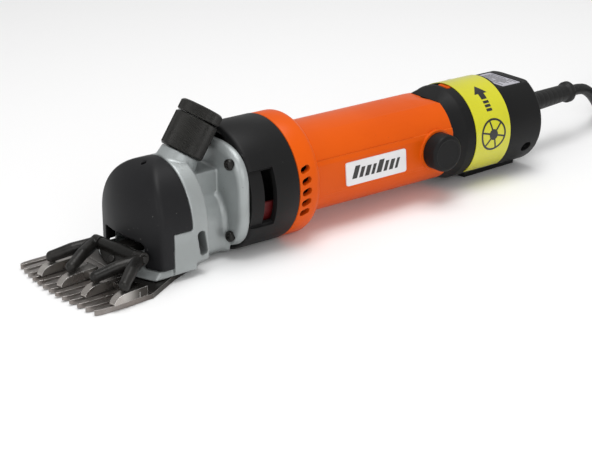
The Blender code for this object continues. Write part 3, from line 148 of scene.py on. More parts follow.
lookValues = {
    "housingOrange": {"base": (0.72, 0.098, 0.003), "second": (0.64, 0.080, 0.002), "patchScale": 18,
                      "rough": 0.34, "spread": 0.08, "grain": 0.035, "grainScale": 1400,
                      "edge": (0.90, 0.22, 0.03), "edgeShare": 0.35, "round": 0.0006,
                      "speck": (0.35, 0.06, 0.01), "speckShare": 0.02, "spec": 0.12},
    "blackPlastic": {"base": (0.0075, 0.0075, 0.0078), "second": (0.011, 0.011, 0.011), "patchScale": 30,
                     "rough": 0.46, "spread": 0.12, "grain": 0.10, "grainScale": 2200,
                     "edge": (0.05, 0.05, 0.05), "edgeShare": 0.35, "round": 0.0005,
                     "speck": (0.09, 0.09, 0.08), "speckShare": 0.01, "spec": 0.16},
    "hoodBlack": {"base": (0.0095, 0.0095, 0.0105), "second": (0.014, 0.014, 0.0155), "patchScale": 25,
                  "rough": 0.50, "spread": 0.12, "grain": 0.10, "grainScale": 1900,
                  # the darker edge colour is painted shade along the hood's corners
                  "edge": (0.004, 0.004, 0.004), "edgeShare": 0.6, "round": 0.0006,
                  "speck": (0.16, 0.16, 0.15), "speckShare": 0.03, "speckScale": 700, "spec": 0.2},
    "silverPaint": {"base": (0.36, 0.385, 0.385), "second": (0.27, 0.285, 0.28), "patchScale": 45,
                    "patch": 0.45, "spread": 0.18, "metal": 0.45, "grain": 0.22, "grainScale": 1300,
                    "edge": (0.62, 0.63, 0.62), "edgeShare": 0.6, "round": 0.0008,
                    "speck": (0.20, 0.19, 0.17), "speckShare": 0.05, "speckScale": 700},
    "combSteel": {"base": (0.22, 0.195, 0.180), "second": (0.33, 0.31, 0.295), "patch": 0.9, "rough": 0.34,
                  "spread": 0.25, "metal": 0.9, "grain": 0.22, "grainScale": 700,
                  "stretch": (0.12, 2.0, 1.0), "edge": (0.75, 0.73, 0.70), "edgeShare": 0.7,
                  "round": 0.0003, "speck": (0.09, 0.07, 0.05), "speckShare": 0.06, "speckScale": 420,
                  # painted shade: darker behind the teeth, under the hood (x range in metres)
                  "paintedShadeX": (0.022, 0.040)},
    "cutterSteel": {"base": (0.42, 0.39, 0.365), "second": (0.55, 0.53, 0.50), "patchScale": 80,
                    "patch": 0.9, "rough": 0.30, "spread": 0.22, "metal": 0.9, "grain": 0.22,
                    "grainScale": 800, "stretch": (0.15, 2.0, 1.0), "edge": (0.85, 0.84, 0.82),
                    "edgeShare": 0.8, "round": 0.0003, "speck": (0.12, 0.10, 0.08), "speckShare": 0.04,
                    # painted shade: darker behind the points, under the yokes (x range in metres)
                    "speckScale": 420, "paintedShadeX": (0.034, 0.047)},
    "blackOxide": {"base": (0.012, 0.0115, 0.0105), "second": (0.026, 0.024, 0.022), "patchScale": 90,
                   "patch": 0.7, "rough": 0.34, "spread": 0.20, "metal": 0.35, "grain": 0.25,
                   "grainScale": 900, "edge": (0.13, 0.125, 0.11), "speck": (0.13, 0.11, 0.09),
                   "speckShare": 0.03, "speckScale": 700, "spec": 0.35},
    "nutOxide": {"base": (0.016, 0.0155, 0.0145), "second": (0.030, 0.028, 0.026), "patchScale": 120,
                 "patch": 0.3, "rough": 0.32, "spread": 0.16, "metal": 0.5, "grain": 0.12,
                 "grainScale": 1200, "edge": (0.10, 0.10, 0.09), "edgeShare": 0.4, "round": 0.0002,
                 "speck": (0.15, 0.14, 0.12), "speckShare": 0.03, "speckScale": 800, "spec": 0.4},
    "brightSteel": {"base": (0.52, 0.52, 0.53), "second": (0.40, 0.40, 0.41), "patchScale": 120,
                    "rough": 0.24, "spread": 0.18, "metal": 1.0, "grain": 0.10, "grainScale": 1800,
                    "stretch": (1, 1, 0.1), "edge": (0.8, 0.8, 0.8), "speck": (0.2, 0.18, 0.15)},
    "gearSteel": {"base": (0.33, 0.33, 0.34), "second": (0.22, 0.21, 0.20), "patchScale": 100, "patch": 0.8,
                  "rough": 0.32, "spread": 0.2, "metal": 1.0, "grain": 0.15, "grainScale": 1200,
                  "edge": (0.7, 0.7, 0.7), "speck": (0.10, 0.08, 0.05), "speckShare": 0.10},
    "brassBright": {"base": (0.66, 0.45, 0.16), "second": (0.52, 0.33, 0.10), "patchScale": 130,
                    "patch": 0.7, "rough": 0.26, "spread": 0.16, "metal": 1.0, "grain": 0.08,
                    "grainScale": 1600, "edge": (0.9, 0.75, 0.4), "speck": (0.25, 0.15, 0.06)},
    "copperWire": {"base": (0.62, 0.25, 0.11), "second": (0.42, 0.14, 0.06), "patchScale": 120,
                   "patch": 0.8, "rough": 0.34, "spread": 0.15, "metal": 0.9, "grain": 0.55,
                   "grainScale": 900, "stretch": (0.3, 1.6, 1.6), "edge": (0.85, 0.45, 0.25)},
    "carbonBlock": {"base": (0.035, 0.035, 0.04), "second": (0.07, 0.07, 0.075), "patchScale": 200,
                    "rough": 0.6, "metal": 0.2, "grain": 0.4, "grainScale": 2400, "speck": (0.2, 0.2, 0.2),
                    "speckShare": 0.1},
    "coreSteel": {"base": (0.20, 0.20, 0.22), "second": (0.12, 0.12, 0.13), "patchScale": 80, "rough": 0.42,
                  "metal": 0.9, "grain": 0.6, "grainScale": 500, "stretch": (4.0, 0.05, 0.05),
                  "edge": (0.45, 0.45, 0.45), "speck": (0.25, 0.10, 0.04)},
    "redFibre": {"base": (0.10, 0.004, 0.005), "second": (0.06, 0.003, 0.004), "patchScale": 90,
                 "rough": 0.48, "grain": 0.3, "grainScale": 1100, "speck": (0.30, 0.03, 0.03),
                 "speckShare": 0.06},
    "labelYellow": {"base": (0.62, 0.60, 0.010), "second": (0.56, 0.53, 0.008), "patchScale": 30,
                    "rough": 0.22, "spread": 0.08, "grain": 0.10, "grainScale": 160, "round": 0.0001,
                    "speck": (0.45, 0.40, 0.05), "speckShare": 0.03, "coat": 0.4},
    "badgeWhite": {"base": (0.78, 0.78, 0.79), "second": (0.70, 0.70, 0.72), "rough": 0.22, "spread": 0.06,
                   "grain": 0.03, "grainScale": 500, "round": 0.0003, "speck": (0.5, 0.5, 0.5),
                   "speckShare": 0.03, "coat": 0.3},
    "printInk": {"base": (0.018, 0.018, 0.018), "second": (0.028, 0.027, 0.026), "patchScale": 300,
                 "rough": 0.30, "grain": 0.05, "grainScale": 900, "round": 0.00005},
    "plateFoil": {"base": (0.50, 0.49, 0.56), "second": (0.60, 0.59, 0.63), "rough": 0.28, "metal": 0.35,
                  "grain": 0.06, "grainScale": 900, "stretch": (0.1, 3.0, 1.0), "round": 0.0002,
                  "speck": (0.3, 0.3, 0.33), "speckShare": 0.04},
    "rubberBlack": {"base": (0.010, 0.010, 0.010), "second": (0.016, 0.0155, 0.015), "patchScale": 40,
                    "rough": 0.50, "spread": 0.15, "grain": 0.12, "edge": (0.05, 0.05, 0.05),
                    "speck": (0.10, 0.10, 0.09), "speckShare": 0.02, "spec": 0.3},
    "plugBlack": {"base": (0.012, 0.012, 0.0125), "second": (0.019, 0.019, 0.019), "patchScale": 50,
                  "rough": 0.42, "spread": 0.12, "grain": 0.10, "grainScale": 1800,
                  "edge": (0.10, 0.10, 0.10), "speck": (0.15, 0.15, 0.14), "speckShare": 0.03}
}


def ramped(tree, source, low, high):
    # 0 below low, 1 above high
    made = tree.nodes.new("ShaderNodeMapRange")
    made.interpolation_type = "SMOOTHSTEP"
    made.inputs["From Min"].default_value = low
    made.inputs["From Max"].default_value = high
    tree.links.new(source, made.inputs["Value"])
    return made.outputs["Result"]


def mixed(tree, share, first, second):
    made = tree.nodes.new("ShaderNodeMix")
    made.data_type = "RGBA"
    for socket, value in ((made.inputs[0], share), (made.inputs[6], first), (made.inputs[7], second)):
        if isinstance(value, bpy.types.NodeSocket):
            tree.links.new(value, socket)
        elif isinstance(value, tuple):
            socket.default_value = (*value, 1)
        else:
            socket.default_value = value
    return made.outputs[2]


def scaled(tree, source, factor):
    made = tree.nodes.new("ShaderNodeMath")
    made.operation = "MULTIPLY"
    made.inputs[1].default_value = factor
    tree.links.new(source, made.inputs[0])
    return made.outputs[0]


def noiseOf(tree, where, scale, detail=3.0):
    made = tree.nodes.new("ShaderNodeTexNoise")
    made.inputs["Scale"].default_value = scale
    made.inputs["Detail"].default_value = detail
    tree.links.new(where, made.inputs["Vector"])
    return made.outputs["Fac"]


def makeLook(name):
    values = dict(plainLook, **lookValues[name])
    made = bpy.data.materials.new(name)
    made.use_nodes = True
    tree = made.node_tree
    shader = tree.nodes["Principled BSDF"]
    coords = tree.nodes.new("ShaderNodeTexCoord").outputs["Object"]
    stretched = coords
    if values["stretch"] != (1, 1, 1):
        mapping = tree.nodes.new("ShaderNodeMapping")
        mapping.inputs["Scale"].default_value = values["stretch"]
        tree.links.new(coords, mapping.inputs["Vector"])
        stretched = mapping.outputs["Vector"]
    patches = noiseOf(tree, coords, values["patchScale"], 5.0)
    color = mixed(tree, scaled(tree, ramped(tree, patches, 0.38, 0.66), values["patch"]),
                  values["base"], values["second"] or values["base"])
    grain = noiseOf(tree, stretched, values["grainScale"], 2.0)
    if values["speck"]:
        specks = noiseOf(tree, coords, values["speckScale"], 1.0)
        limit = 0.80 - values["speckShare"]
        color = mixed(tree, ramped(tree, specks, limit, limit + 0.06), color, values["speck"])
    if values["paintedShadeX"]:
        # painted shade: everything behind the teeth is made darker, where the hood and yokes above shade it
        place = tree.nodes.new("ShaderNodeSeparateXYZ")
        tree.links.new(coords, place.inputs[0])
        color = mixed(tree, ramped(tree, place.outputs["X"], *values["paintedShadeX"]), (0.040, 0.036, 0.032), color)
    rounded = tree.nodes.new("ShaderNodeBevel")
    rounded.samples = 4
    rounded.inputs["Radius"].default_value = values["round"]
    # edges take the edge colour: wear on most looks, painted shade on the hood's darker edges
    if values["edge"]:
        geometry = tree.nodes.new("ShaderNodeNewGeometry")
        facing = tree.nodes.new("ShaderNodeVectorMath")
        facing.operation = "DOT_PRODUCT"
        tree.links.new(rounded.outputs["Normal"], facing.inputs[0])
        tree.links.new(geometry.outputs["Normal"], facing.inputs[1])
        flat = ramped(tree, facing.outputs["Value"], 0.86, 0.995)
        edgeWearAndShade = tree.nodes.new("ShaderNodeMath")
        edgeWearAndShade.operation = "SUBTRACT"
        edgeWearAndShade.inputs[0].default_value = 1
        tree.links.new(flat, edgeWearAndShade.inputs[1])
        color = mixed(tree, scaled(tree, edgeWearAndShade.outputs[0], values["edgeShare"]), color, values["edge"])
    tree.links.new(color, shader.inputs["Base Color"])
    rough = tree.nodes.new("ShaderNodeMapRange")
    rough.inputs["From Min"].default_value = 0.3
    rough.inputs["From Max"].default_value = 0.7
    rough.inputs["To Min"].default_value = values["rough"] - values["spread"] / 2
    rough.inputs["To Max"].default_value = values["rough"] + values["spread"] / 2
    tree.links.new(patches, rough.inputs["Value"])
    tree.links.new(rough.outputs["Result"], shader.inputs["Roughness"])
    shader.inputs["Metallic"].default_value = values["metal"]
    shader.inputs["Coat Weight"].default_value = values["coat"]
    shader.inputs["Specular IOR Level"].default_value = values["spec"]
    bump = tree.nodes.new("ShaderNodeBump")
    bump.inputs["Strength"].default_value = values["grain"]
    bump.inputs["Distance"].default_value = 0.0004
    tree.links.new(grain, bump.inputs["Height"])
    tree.links.new(rounded.outputs["Normal"], bump.inputs["Normal"])
    tree.links.new(bump.outputs["Normal"], shader.inputs["Normal"])
    return made


looks = {name: makeLook(name) for name in lookValues}
lookOfSlot = {"housing_orange": "housingOrange", "black_plastic": "blackPlastic",
              "silver_paint": "silverPaint",
              "comb_steel": "combSteel", "cutter_steel": "cutterSteel", "black_oxide": "blackOxide",
              "bright_steel": "brightSteel", "gear_steel": "gearSteel", "brass": "brassBright",
              "copper": "copperWire", "carbon": "carbonBlock", "core_steel": "coreSteel",
              "red_fibre": "redFibre",
              "label_yellow": "labelYellow", "badge_white": "badgeWhite", "plate_foil": "plateFoil",
              "rubber": "rubberBlack"}
slotOfLook = {look: slot for slot, look in lookOfSlot.items()}
slotOfLook.update({"hoodBlack": "black_plastic", "plugBlack": "black_plastic", "printInk": "black_plastic",
                   "nutOxide": "black_oxide"})


# Mesh helpers

def draft(shape, where=onTable):
    bmesh.ops.remove_doubles(shape, verts=shape.verts, dist=1e-4)
    bmesh.ops.recalc_face_normals(shape, faces=shape.faces)
    bmesh.ops.transform(shape, matrix=where, verts=shape.verts)
    mesh = bpy.data.meshes.new("draft")
    shape.to_mesh(mesh)
    shape.free()
    made = bpy.data.objects.new("draft", mesh)
    scene.collection.objects.link(made)
    return made


def settle(made):
    # the modifiers become the mesh
    graph = bpy.context.evaluated_depsgraph_get()
    mesh = bpy.data.meshes.new_from_object(made.evaluated_get(graph))
    old = made.data
    made.modifiers.clear()
    made.data = mesh
    bpy.data.meshes.remove(old)
    return made


def combine(made, tools, operation):
    for tool in tools:
        change = made.modifiers.new("change", "BOOLEAN")
        change.operation = operation
        change.solver = "MANIFOLD"
        change.object = tool
        settle(made)
        bpy.data.objects.remove(tool)
    return made


def join(made, shapes, where=onTable):
    return combine(made, [draft(shape, where) for shape in shapes], "UNION")


def cut(made, shapes, where=onTable):
    return combine(made, [draft(shape, where) for shape in shapes], "DIFFERENCE")


def melt(made, size, passes=3):
    # one even skin, with soft fillets where shapes meet
    skin = made.modifiers.new("skin", "REMESH")
    skin.mode = "VOXEL"
    skin.voxel_size = size
    soft = made.modifiers.new("soft", "SMOOTH")
    soft.iterations = passes
    soft.factor = 0.5
    return settle(made)


def piece(name, made, look, body="shears", stands=(), angle=35):
    made.name = name
    made.data.name = name
    made.data.transform(Matrix.Scale(mm, 4))
    made.data.materials.clear()
    made.data.materials.append(looks[look])
    made.data.shade_smooth()
    made.data.set_sharp_from_angle(angle=radians(angle))
    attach(made, body)
    if stands:
        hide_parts(*stands)
    return made


def turned(profile, steps=64, centre=(0, 0), closed=False):
    # points on the axis are shared, so that the ends close
    shape = bmesh.new()
    rings = []
    for x, r in profile:
        if r < 1e-6:
            rings.append([shape.verts.new((x, centre[0], centre[1]))] * steps)
            continue
        turns = [2 * pi * step / steps for step in range(steps)]
        rings.append([shape.verts.new((x, centre[0] + r * cos(t), centre[1] + r * sin(t))) for t in turns])
    pairs = list(zip(rings, rings[1:]))
    if closed:
        pairs.append((rings[-1], rings[0]))
    for lower, upper in pairs:
        for step in range(steps):
            after = (step + 1) % steps
            corners = []
            for vert in (lower[step], lower[after], upper[after], upper[step]):
                if vert not in corners:
                    corners.append(vert)
            if len(corners) > 2:
                shape.faces.new(corners)
    return shape


def rod(start, end, radius, endRadius=None, steps=28):
    start = Vector(start)
    end = Vector(end)
    shape = bmesh.new()
    bmesh.ops.create_cone(shape, cap_ends=True, segments=steps, radius1=radius,
                          radius2=radius if endRadius is None else endRadius, depth=(end - start).length)
    turn = Vector((0, 0, 1)).rotation_difference(end - start).to_matrix().to_4x4()
    bmesh.ops.transform(shape, matrix=Matrix.Translation((start + end) / 2) @ turn, verts=shape.verts)
    return shape


def ball(centre, radius):
    shape = bmesh.new()
    bmesh.ops.create_uvsphere(shape, u_segments=24, v_segments=14, radius=radius)
    bmesh.ops.translate(shape, verts=shape.verts, vec=centre)
    return shape


def ring(low, high, inner, outer, steps=64, centre=(0, 0)):
    return turned([(low, inner), (high, inner), (high, outer), (low, outer)], steps, centre, closed=True)


def block(low, high, bevel=0.0, segments=3):
    low = Vector(low)
    high = Vector(high)
    shape = bmesh.new()
    bmesh.ops.create_cube(shape, size=1)
    bmesh.ops.scale(shape, verts=shape.verts, vec=high - low)
    bmesh.ops.translate(shape, verts=shape.verts, vec=(low + high) / 2)
    if bevel:
        bmesh.ops.bevel(shape, geom=shape.edges[:], offset=bevel, segments=segments, profile=0.5,
                        affect="EDGES")
    return shape


def extruded(outline, low, high, axis="Z"):
    place = {"X": lambda a, b, d: (d, a, b), "Y": lambda a, b, d: (a, d, b), "Z": lambda a, b,
             d: (a, b, d)}[axis]
    shape = bmesh.new()
    face = shape.faces.new([shape.verts.new(place(a, b, low)) for a, b in outline])
    made = bmesh.ops.extrude_face_region(shape, geom=[face])
    moved = [item for item in made["geom"] if isinstance(item, bmesh.types.BMVert)]
    bmesh.ops.translate(shape, verts=moved, vec=Vector(place(0, 0, high)) - Vector(place(0, 0, low)))
    return shape


def gather(shapes):
    # several small shapes as one
    whole = bmesh.new()
    for shape in shapes:
        mesh = bpy.data.meshes.new("mark")
        shape.to_mesh(mesh)
        shape.free()
        whole.from_mesh(mesh)
        bpy.data.meshes.remove(mesh)
    return whole


def lofted(rows):
    shape = bmesh.new()
    loops = [[shape.verts.new(point) for point in row] for row in rows]
    for lower, upper in zip(loops, loops[1:]):
        for index in range(len(lower)):
            after = (index + 1) % len(lower)
            shape.faces.new((lower[index], lower[after], upper[after], upper[index]))
    shape.faces.new(reversed(loops[0]))
    shape.faces.new(loops[-1])
    return shape


def turnShape(shape, angle, axis):
    bmesh.ops.rotate(shape, verts=shape.verts, cent=(0, 0, 0),
                     matrix=Matrix.Rotation(radians(angle), 3, axis))
    return shape


def moveShape(shape, by):
    bmesh.ops.translate(shape, verts=shape.verts, vec=by)
    return shape


def arc(centre, radius, first, last, steps):
    turns = [radians(first + (last - first) * step / steps) for step in range(steps + 1)]
    return [(centre[0] + radius * cos(t), centre[1] + radius * sin(t)) for t in turns]


def smoothLine(points, spacing):
    points = [Vector(point) for point in points]
    ends = [points[0] * 2 - points[1]] + points + [points[-1] * 2 - points[-2]]
    fine = []
    for a, b, c, d in zip(ends, ends[1:], ends[2:], ends[3:]):
        steps = max(1, round((c - b).length / spacing))
        for step in range(steps):
            t = step / steps
            fine.append(0.5 * ((2 * b) + (c - a) * t + (2 * a - 5 * b + 4 * c - d) * t ** 2
                               + (3 * b - a - 3 * c + d) * t ** 3))
    return fine + [points[-1]]


# Mains cord, which is one length from the guard to the plug

cord = {"diameter": 6.8, "lie": 3.4, "coilX": -418.0, "coilY": 0.0, "radii": (33.2, 40.0, 46.8),
        "layers": (4.3, 11.1, 17.9), "entry": -50.0, "leave": 125.0, "outside": 54.1, "length": 2.1,
        "coilInner": 29.6, "coilOuter": 50.4, "plugApart": 1.2}
plug = {"length": 36.0, "width": 26.0, "height": 14.0, "ribs": 6, "pinSpacing": 19.0, "forward": 16.0}


def coilPoint(angle, radius, z):
    return Vector((cord["coilX"] + radius * cos(radians(angle)), cord["coilY"] + radius * sin(radians(angle)),
                   z))


def ease(share):
    share = max(0.0, min(1.0, share))
    return share * share * (3 - 2 * share)


def coilPoints():
    # three turns on the table, three on them, and the rest on top
    small, middle, large = cord["radii"]
    one, two, three = cord["layers"]
    turns = [(large, one), (middle, one), (small, one), (small, two), (middle, two), (large, two),
             (middle, three),
             (large, three)]
    points = []
    step = 11.25
    angle = 0.0
    last = 7 * 360 + 185
    while angle <= last:
        index = int(angle // 360)
        share = (angle - index * 360 - 315) / 45
        radius, z = turns[index]
        if index + 1 < len(turns):
            radius += (turns[index + 1][0] - radius) * ease(share)
            z += (turns[index + 1][1] - z) * ease(share)
        if index == 0:
            # it comes in from beside the coil
            radius += (cord["outside"] - radius) * (1 - ease(angle / 60))
            z = cord["lie"] + (z - cord["lie"]) * ease(angle / 60)
        # the last stretch goes outwards and down to the table
        radius += (cord["outside"] - radius) * ease((angle - last + 55) / 45)
        z += (cord["lie"] + 0.2 - z) * ease((angle - last + 45) / 67)
        points.append(coilPoint(cord["entry"] - angle, radius, z))
        angle += step
    return points


def makeCord():
    yaw = radians(guardYaw)
    out = Vector((-cos(yaw), -sin(yaw), 0))
    start = onHandle @ (guardRoot + out * (guardLength + gap))
    inside = onHandle @ (guardRoot + out * (guardLength - 8.5))
    lie = cord["lie"]
    entry = coilPoint(cord["entry"], cord["outside"], lie)
    along = Vector((-sin(radians(cord["entry"])), cos(radians(cord["entry"])), 0))
    free = [inside, start, start + Vector((-12.8, -1.3, -1.4)), start + Vector((-22.8, -4.1, -6.4)),
            start + Vector((-33.8, -8.9, -14.6)), Vector((start.x - 45.8, start.y - 16.1, lie + 3.2)),
            Vector((start.x - 56.7, start.y - 23.7, lie + 0.2)), entry + along * 10]
    nose = Vector((cord["coilX"] + plug["forward"],
                   cord["coilY"] + cord["coilOuter"] + cord["plugApart"] + plug["width"] / 2,
                   plug["height"] / 2))
    leave = coilPoint(cord["leave"], cord["outside"], lie)
    lead = [leave + Vector((8.2, 6.0, 1.4)), Vector((nose.x - 28, nose.y - 4.5, lie + 0.6)),
            Vector((nose.x - 17, nose.y - 0.8, lie + 2.4)),
            nose + Vector((-8, 0, 0)), nose + Vector((-3, 0, 0))]
    line = smoothLine(free + coilPoints() + lead, 4.0)
    curve = bpy.data.curves.new("mainsCord", "CURVE")
    curve.dimensions = "3D"
    curve.bevel_depth = cord["diameter"] / 2 * mm
    curve.bevel_resolution = 6
    curve.use_fill_caps = True
    spline = curve.splines.new("POLY")
    spline.points.add(len(line) - 1)
    for slot, point in zip(spline.points, line):
        slot.co = (*(point * mm), 1)
    curve.materials.append(looks["rubberBlack"])
    made = bpy.data.objects.new("mainsCord", curve)
    scene.collection.objects.link(made)
    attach(made, "shears")
    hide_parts("power_cord", "cord_coil", "plug_lead")
    length = sum((b - a).length for a, b in zip(line, line[1:]))
    print("cord length", round(length, 1), "mm")
    return made, start, nose


mainsCord, cordStart, plugNose = makeCord()


def makeTie():
    tie = {"width": 10.0, "slack": 1.5, "thickness": 0.6, "low": 0.9, "height": 20.8, "corner": 5.0}
    middle = cord["coilX"] + (cord["coilInner"] + cord["coilOuter"]) / 2
    half = (cord["coilOuter"] - cord["coilInner"]) / 2 + tie["slack"]
    top = tie["low"] + tie["height"] + gap
    low = tie["low"] - gap

    def loop(grow):
        corner = tie["corner"]
        sides = []
        for x, z, first in ((half - corner, top - corner, 0), (corner - half, top - corner, 90),
                            (corner - half, low + corner, 180), (half - corner, low + corner, 270)):
            sides += arc((x, z), corner + grow, first, first + 90, 8)
        return [(middle + a, b) for a, b in sides]

    y = cord["coilY"]
    strap = draft(extruded(loop(tie["thickness"]), y - tie["width"] / 2, y + tie["width"] / 2, "Y"))
    cut(strap, [extruded(loop(0), y - tie["width"], y + tie["width"], "Y")])
    # raised rungs on the top run
    places = [middle + step * 1.9 for step in range(-3, 4)]
    rungs = [block((x - 0.45, y - 3.6, top + 0.4), (x + 0.45, y + 3.6, top + 0.9), 0.1) for x in places]
    join(strap, rungs)
    return piece("coilTie", strap, "rubberBlack", stands=["coil_tie"])


def makePlug():
    rows = []
    shares = [(0.0, 0.50), (0.4, 0.56), (3.0, 0.62), (8.0, 0.74), (13.0, 0.88), (18.0, 0.97), (22.0, 1.0),
              (35.0, 1.0), (35.7, 0.985), (36.0, 0.95)]
    for x, share in shares:
        row = []
        for step in range(48):
            t = radians(7.5 * step)
            a = abs(cos(t)) ** 0.5 * (1 if cos(t) > 0 else -1)
            b = abs(sin(t)) ** 0.6 * (1 if sin(t) > 0 else -1)
            row.append((plugNose.x + x, plugNose.y + a * plug["width"] / 2 * share,
                        plugNose.z + b * plug["height"] / 2 * (0.4 + 0.6 * share)))
        rows.append(row)
    body = draft(lofted(rows))
    grooves = []
    for index in range(plug["ribs"]):
        x = plugNose.x + 6 + index * 2.4
        for side in (-1, 1):
            place = plugNose.y + side * (plug["width"] / 2 * (0.70 + 0.055 * index) + 0.8)
            grooves.append(block((x, place - 1.2, plugNose.z - 5.5), (x + 1.1, place + 1.2, plugNose.z + 5.5),
                                 0.3))
    cut(body, grooves)
    join(body, [turned([(plugNose.x - 6, 0), (plugNose.x - 6, 4.0), (plugNose.x - 5.4, 4.4),
                        (plugNose.x + 2, 5.6),
                        (plugNose.x + 2, 0)], 32, (plugNose.y, plugNose.z))])
    cut(body, [turned([(plugNose.x - 7, 0), (plugNose.x - 7, 3.55), (plugNose.x - 1, 3.55),
                       (plugNose.x - 1, 0)], 32,
                      (plugNose.y, plugNose.z))])
    piece("plugBody", body, "plugBlack", stands=["plug_body"], angle=40)
    for side, name in ((-1, "right"), (1, "left")):
        start = plugNose + Vector((plug["length"] + gap, side * plug["pinSpacing"] / 2, 0))
        pin = turned([(0, 0), (0, 2.0), (17.4, 2.0), (18.4, 1.6), (19.0, 0.8), (19.0, 0)], 32)
        made = draft(moveShape(pin, start))
        piece("plugPin_" + name, made, "brassBright", stands=["plug_pin_" + name])


makeTie()
makePlug()
print("cord, tie and plug")


# Repeats by geometry nodes: ridges round a nut, and copies of one screw on given points

def newTree(name, inputs):
    tree = bpy.data.node_groups.new(name, "GeometryNodeTree")
    tree.interface.new_socket("Geometry", in_out="INPUT", socket_type="NodeSocketGeometry")
    for label, kind in inputs:
        tree.interface.new_socket(label, in_out="INPUT", socket_type="NodeSocket" + kind)
    tree.interface.new_socket("Geometry", in_out="OUTPUT", socket_type="NodeSocketGeometry")
    start = tree.nodes.new("NodeGroupInput")
    end = tree.nodes.new("NodeGroupOutput")
    return tree, start, end


def ridgeTree():
    tree, start, end = newTree("knurlRidges", (("Count", "Int"), ("Radius", "Float"), ("Length", "Float"),
                                                ("Width", "Float"), ("Low", "Float"), ("Look", "Material")))
    link = tree.links.new
    circle = tree.nodes.new("GeometryNodeMeshCircle")
    link(start.outputs["Count"], circle.inputs["Vertices"])
    link(start.outputs["Radius"], circle.inputs["Radius"])
    size = tree.nodes.new("ShaderNodeCombineXYZ")
    link(start.outputs["Width"], size.inputs["X"])
    link(start.outputs["Width"], size.inputs["Y"])
    link(start.outputs["Length"], size.inputs["Z"])
    bar = tree.nodes.new("GeometryNodeMeshCube")
    link(size.outputs[0], bar.inputs["Size"])
    corner = tree.nodes.new("GeometryNodeTransform")
    corner.inputs["Rotation"].default_value = (0, 0, radians(45))
    link(bar.outputs["Mesh"], corner.inputs["Geometry"])
    place = tree.nodes.new("GeometryNodeInputPosition")
    facing = tree.nodes.new("FunctionNodeAlignRotationToVector")
    facing.axis = "X"
    link(place.outputs[0], facing.inputs["Vector"])
    spread = tree.nodes.new("GeometryNodeInstanceOnPoints")
    link(circle.outputs["Mesh"], spread.inputs["Points"])
    link(corner.outputs["Geometry"], spread.inputs["Instance"])
    link(facing.outputs["Rotation"], spread.inputs["Rotation"])
    raised = tree.nodes.new("GeometryNodeTransform")
    height = tree.nodes.new("ShaderNodeCombineXYZ")
    link(start.outputs["Low"], height.inputs["Z"])
    link(height.outputs[0], raised.inputs["Translation"])
    real = tree.nodes.new("GeometryNodeRealizeInstances")
    both = tree.nodes.new("GeometryNodeJoinGeometry")
    painted = tree.nodes.new("GeometryNodeSetMaterial")
    link(spread.outputs["Instances"], raised.inputs["Geometry"])
    for source in (raised, start):
        link(source.outputs["Geometry"], both.inputs[0])
    link(both.outputs[0], real.inputs[0])
    link(real.outputs[0], painted.inputs["Geometry"])
    link(start.outputs["Look"], painted.inputs["Material"])
    link(painted.outputs[0], end.inputs[0])
    return tree


def copiesTree():
    tree, start, end = newTree("screwCopies", (("Screw", "Object"), ("Look", "Material")))
    link = tree.links.new
    source = tree.nodes.new("GeometryNodeObjectInfo")
    link(start.outputs["Screw"], source.inputs["Object"])
    turn = tree.nodes.new("FunctionNodeRandomValue")
    turn.data_type = "FLOAT_VECTOR"
    turn.inputs["Min"].default_value = (0, 0, 0)
    turn.inputs["Max"].default_value = (pi, 0, 0)
    turn.inputs["Seed"].default_value = 4
    spread = tree.nodes.new("GeometryNodeInstanceOnPoints")
    link(start.outputs["Geometry"], spread.inputs["Points"])
    link(source.outputs["Geometry"], spread.inputs["Instance"])
    link(turn.outputs["Value"], spread.inputs["Rotation"])
    real = tree.nodes.new("GeometryNodeRealizeInstances")
    painted = tree.nodes.new("GeometryNodeSetMaterial")
    link(spread.outputs["Instances"], real.inputs[0])
    link(real.outputs[0], painted.inputs["Geometry"])
    link(start.outputs["Look"], painted.inputs["Material"])
    link(painted.outputs[0], end.inputs[0])
    return tree


def applyTree(made, tree, values):
    change = made.modifiers.new("repeat", "NODES")
    change.node_group = tree
    for socket in tree.interface.items_tree:
        if socket.in_out == "INPUT" and socket.name in values:
            change[socket.identifier] = values[socket.name]
    return settle(made)


ridges = ridgeTree()
copies = copiesTree()


# Hood over the fork

hood = {"halfWidth": 29.5, "springZ": -8.0, "topZ": 24.5, "rear": 65.0, "front": 91.0, "bow": 58.0,
        "corner": 2.4,
        "wall": 2.4, "footZ": -26.0, "legRear": 76.8, "notchZ": -7.3, "mouth": 37.0, "mouthZ": -13.0}


def archHalf(z, inset):
    rise = max(0.0, min(1.0, (z - hood["springZ"]) / (hood["topZ"] - inset - hood["springZ"])))
    return (hood["halfWidth"] - inset) * sqrt(max(0.0, 1 - rise * rise))


def hoodFront(z, inset):
    rise = (z - hood["springZ"]) / (hood["topZ"] - inset - hood["springZ"])
    roundPart = sqrt(max(0.0, 1 - max(0.0, min(1.0, rise)) ** 2.1))
    return hood["rear"] + (hood["front"] - inset - hood["rear"]) * (0.12 + 0.88 * roundPart)


def hoodRow(z, inset, rear):
    half = archHalf(z, inset)
    front = hoodFront(z, inset)
    corner = min(hood["corner"], 0.6 * half)
    bow = 2 * hood["bow"]
    sideX = front - half ** 2 / bow
    turnY = half - corner
    turnX = front - turnY ** 2 / bow
    near = [(rear, half)]
    for step in range(9):
        t = step / 8
        near.append(((1 - t) ** 2 * (sideX - corner) + 2 * t * (1 - t) * sideX + t ** 2 * turnX,
                     (1 - t) ** 2 * half + 2 * t * (1 - t) * half + t ** 2 * turnY))
    for step in range(1, 14):
        y = turnY * (1 - step / 14)
        near.append((front - y ** 2 / bow, y))
    return near + [(front, 0.0)] + [(x, -y) for x, y in reversed(near)]


def dome(inset, low, rear):
    top = hood["topZ"] - inset
    heights = [low, (low + hood["springZ"]) / 2]
    heights += [hood["springZ"] + (top - hood["springZ"]) * sin(radians(2.9 * step)) for step in range(31)]
    return lofted([[(x, y, z) for x, y in hoodRow(z, inset, rear)] for z in heights])


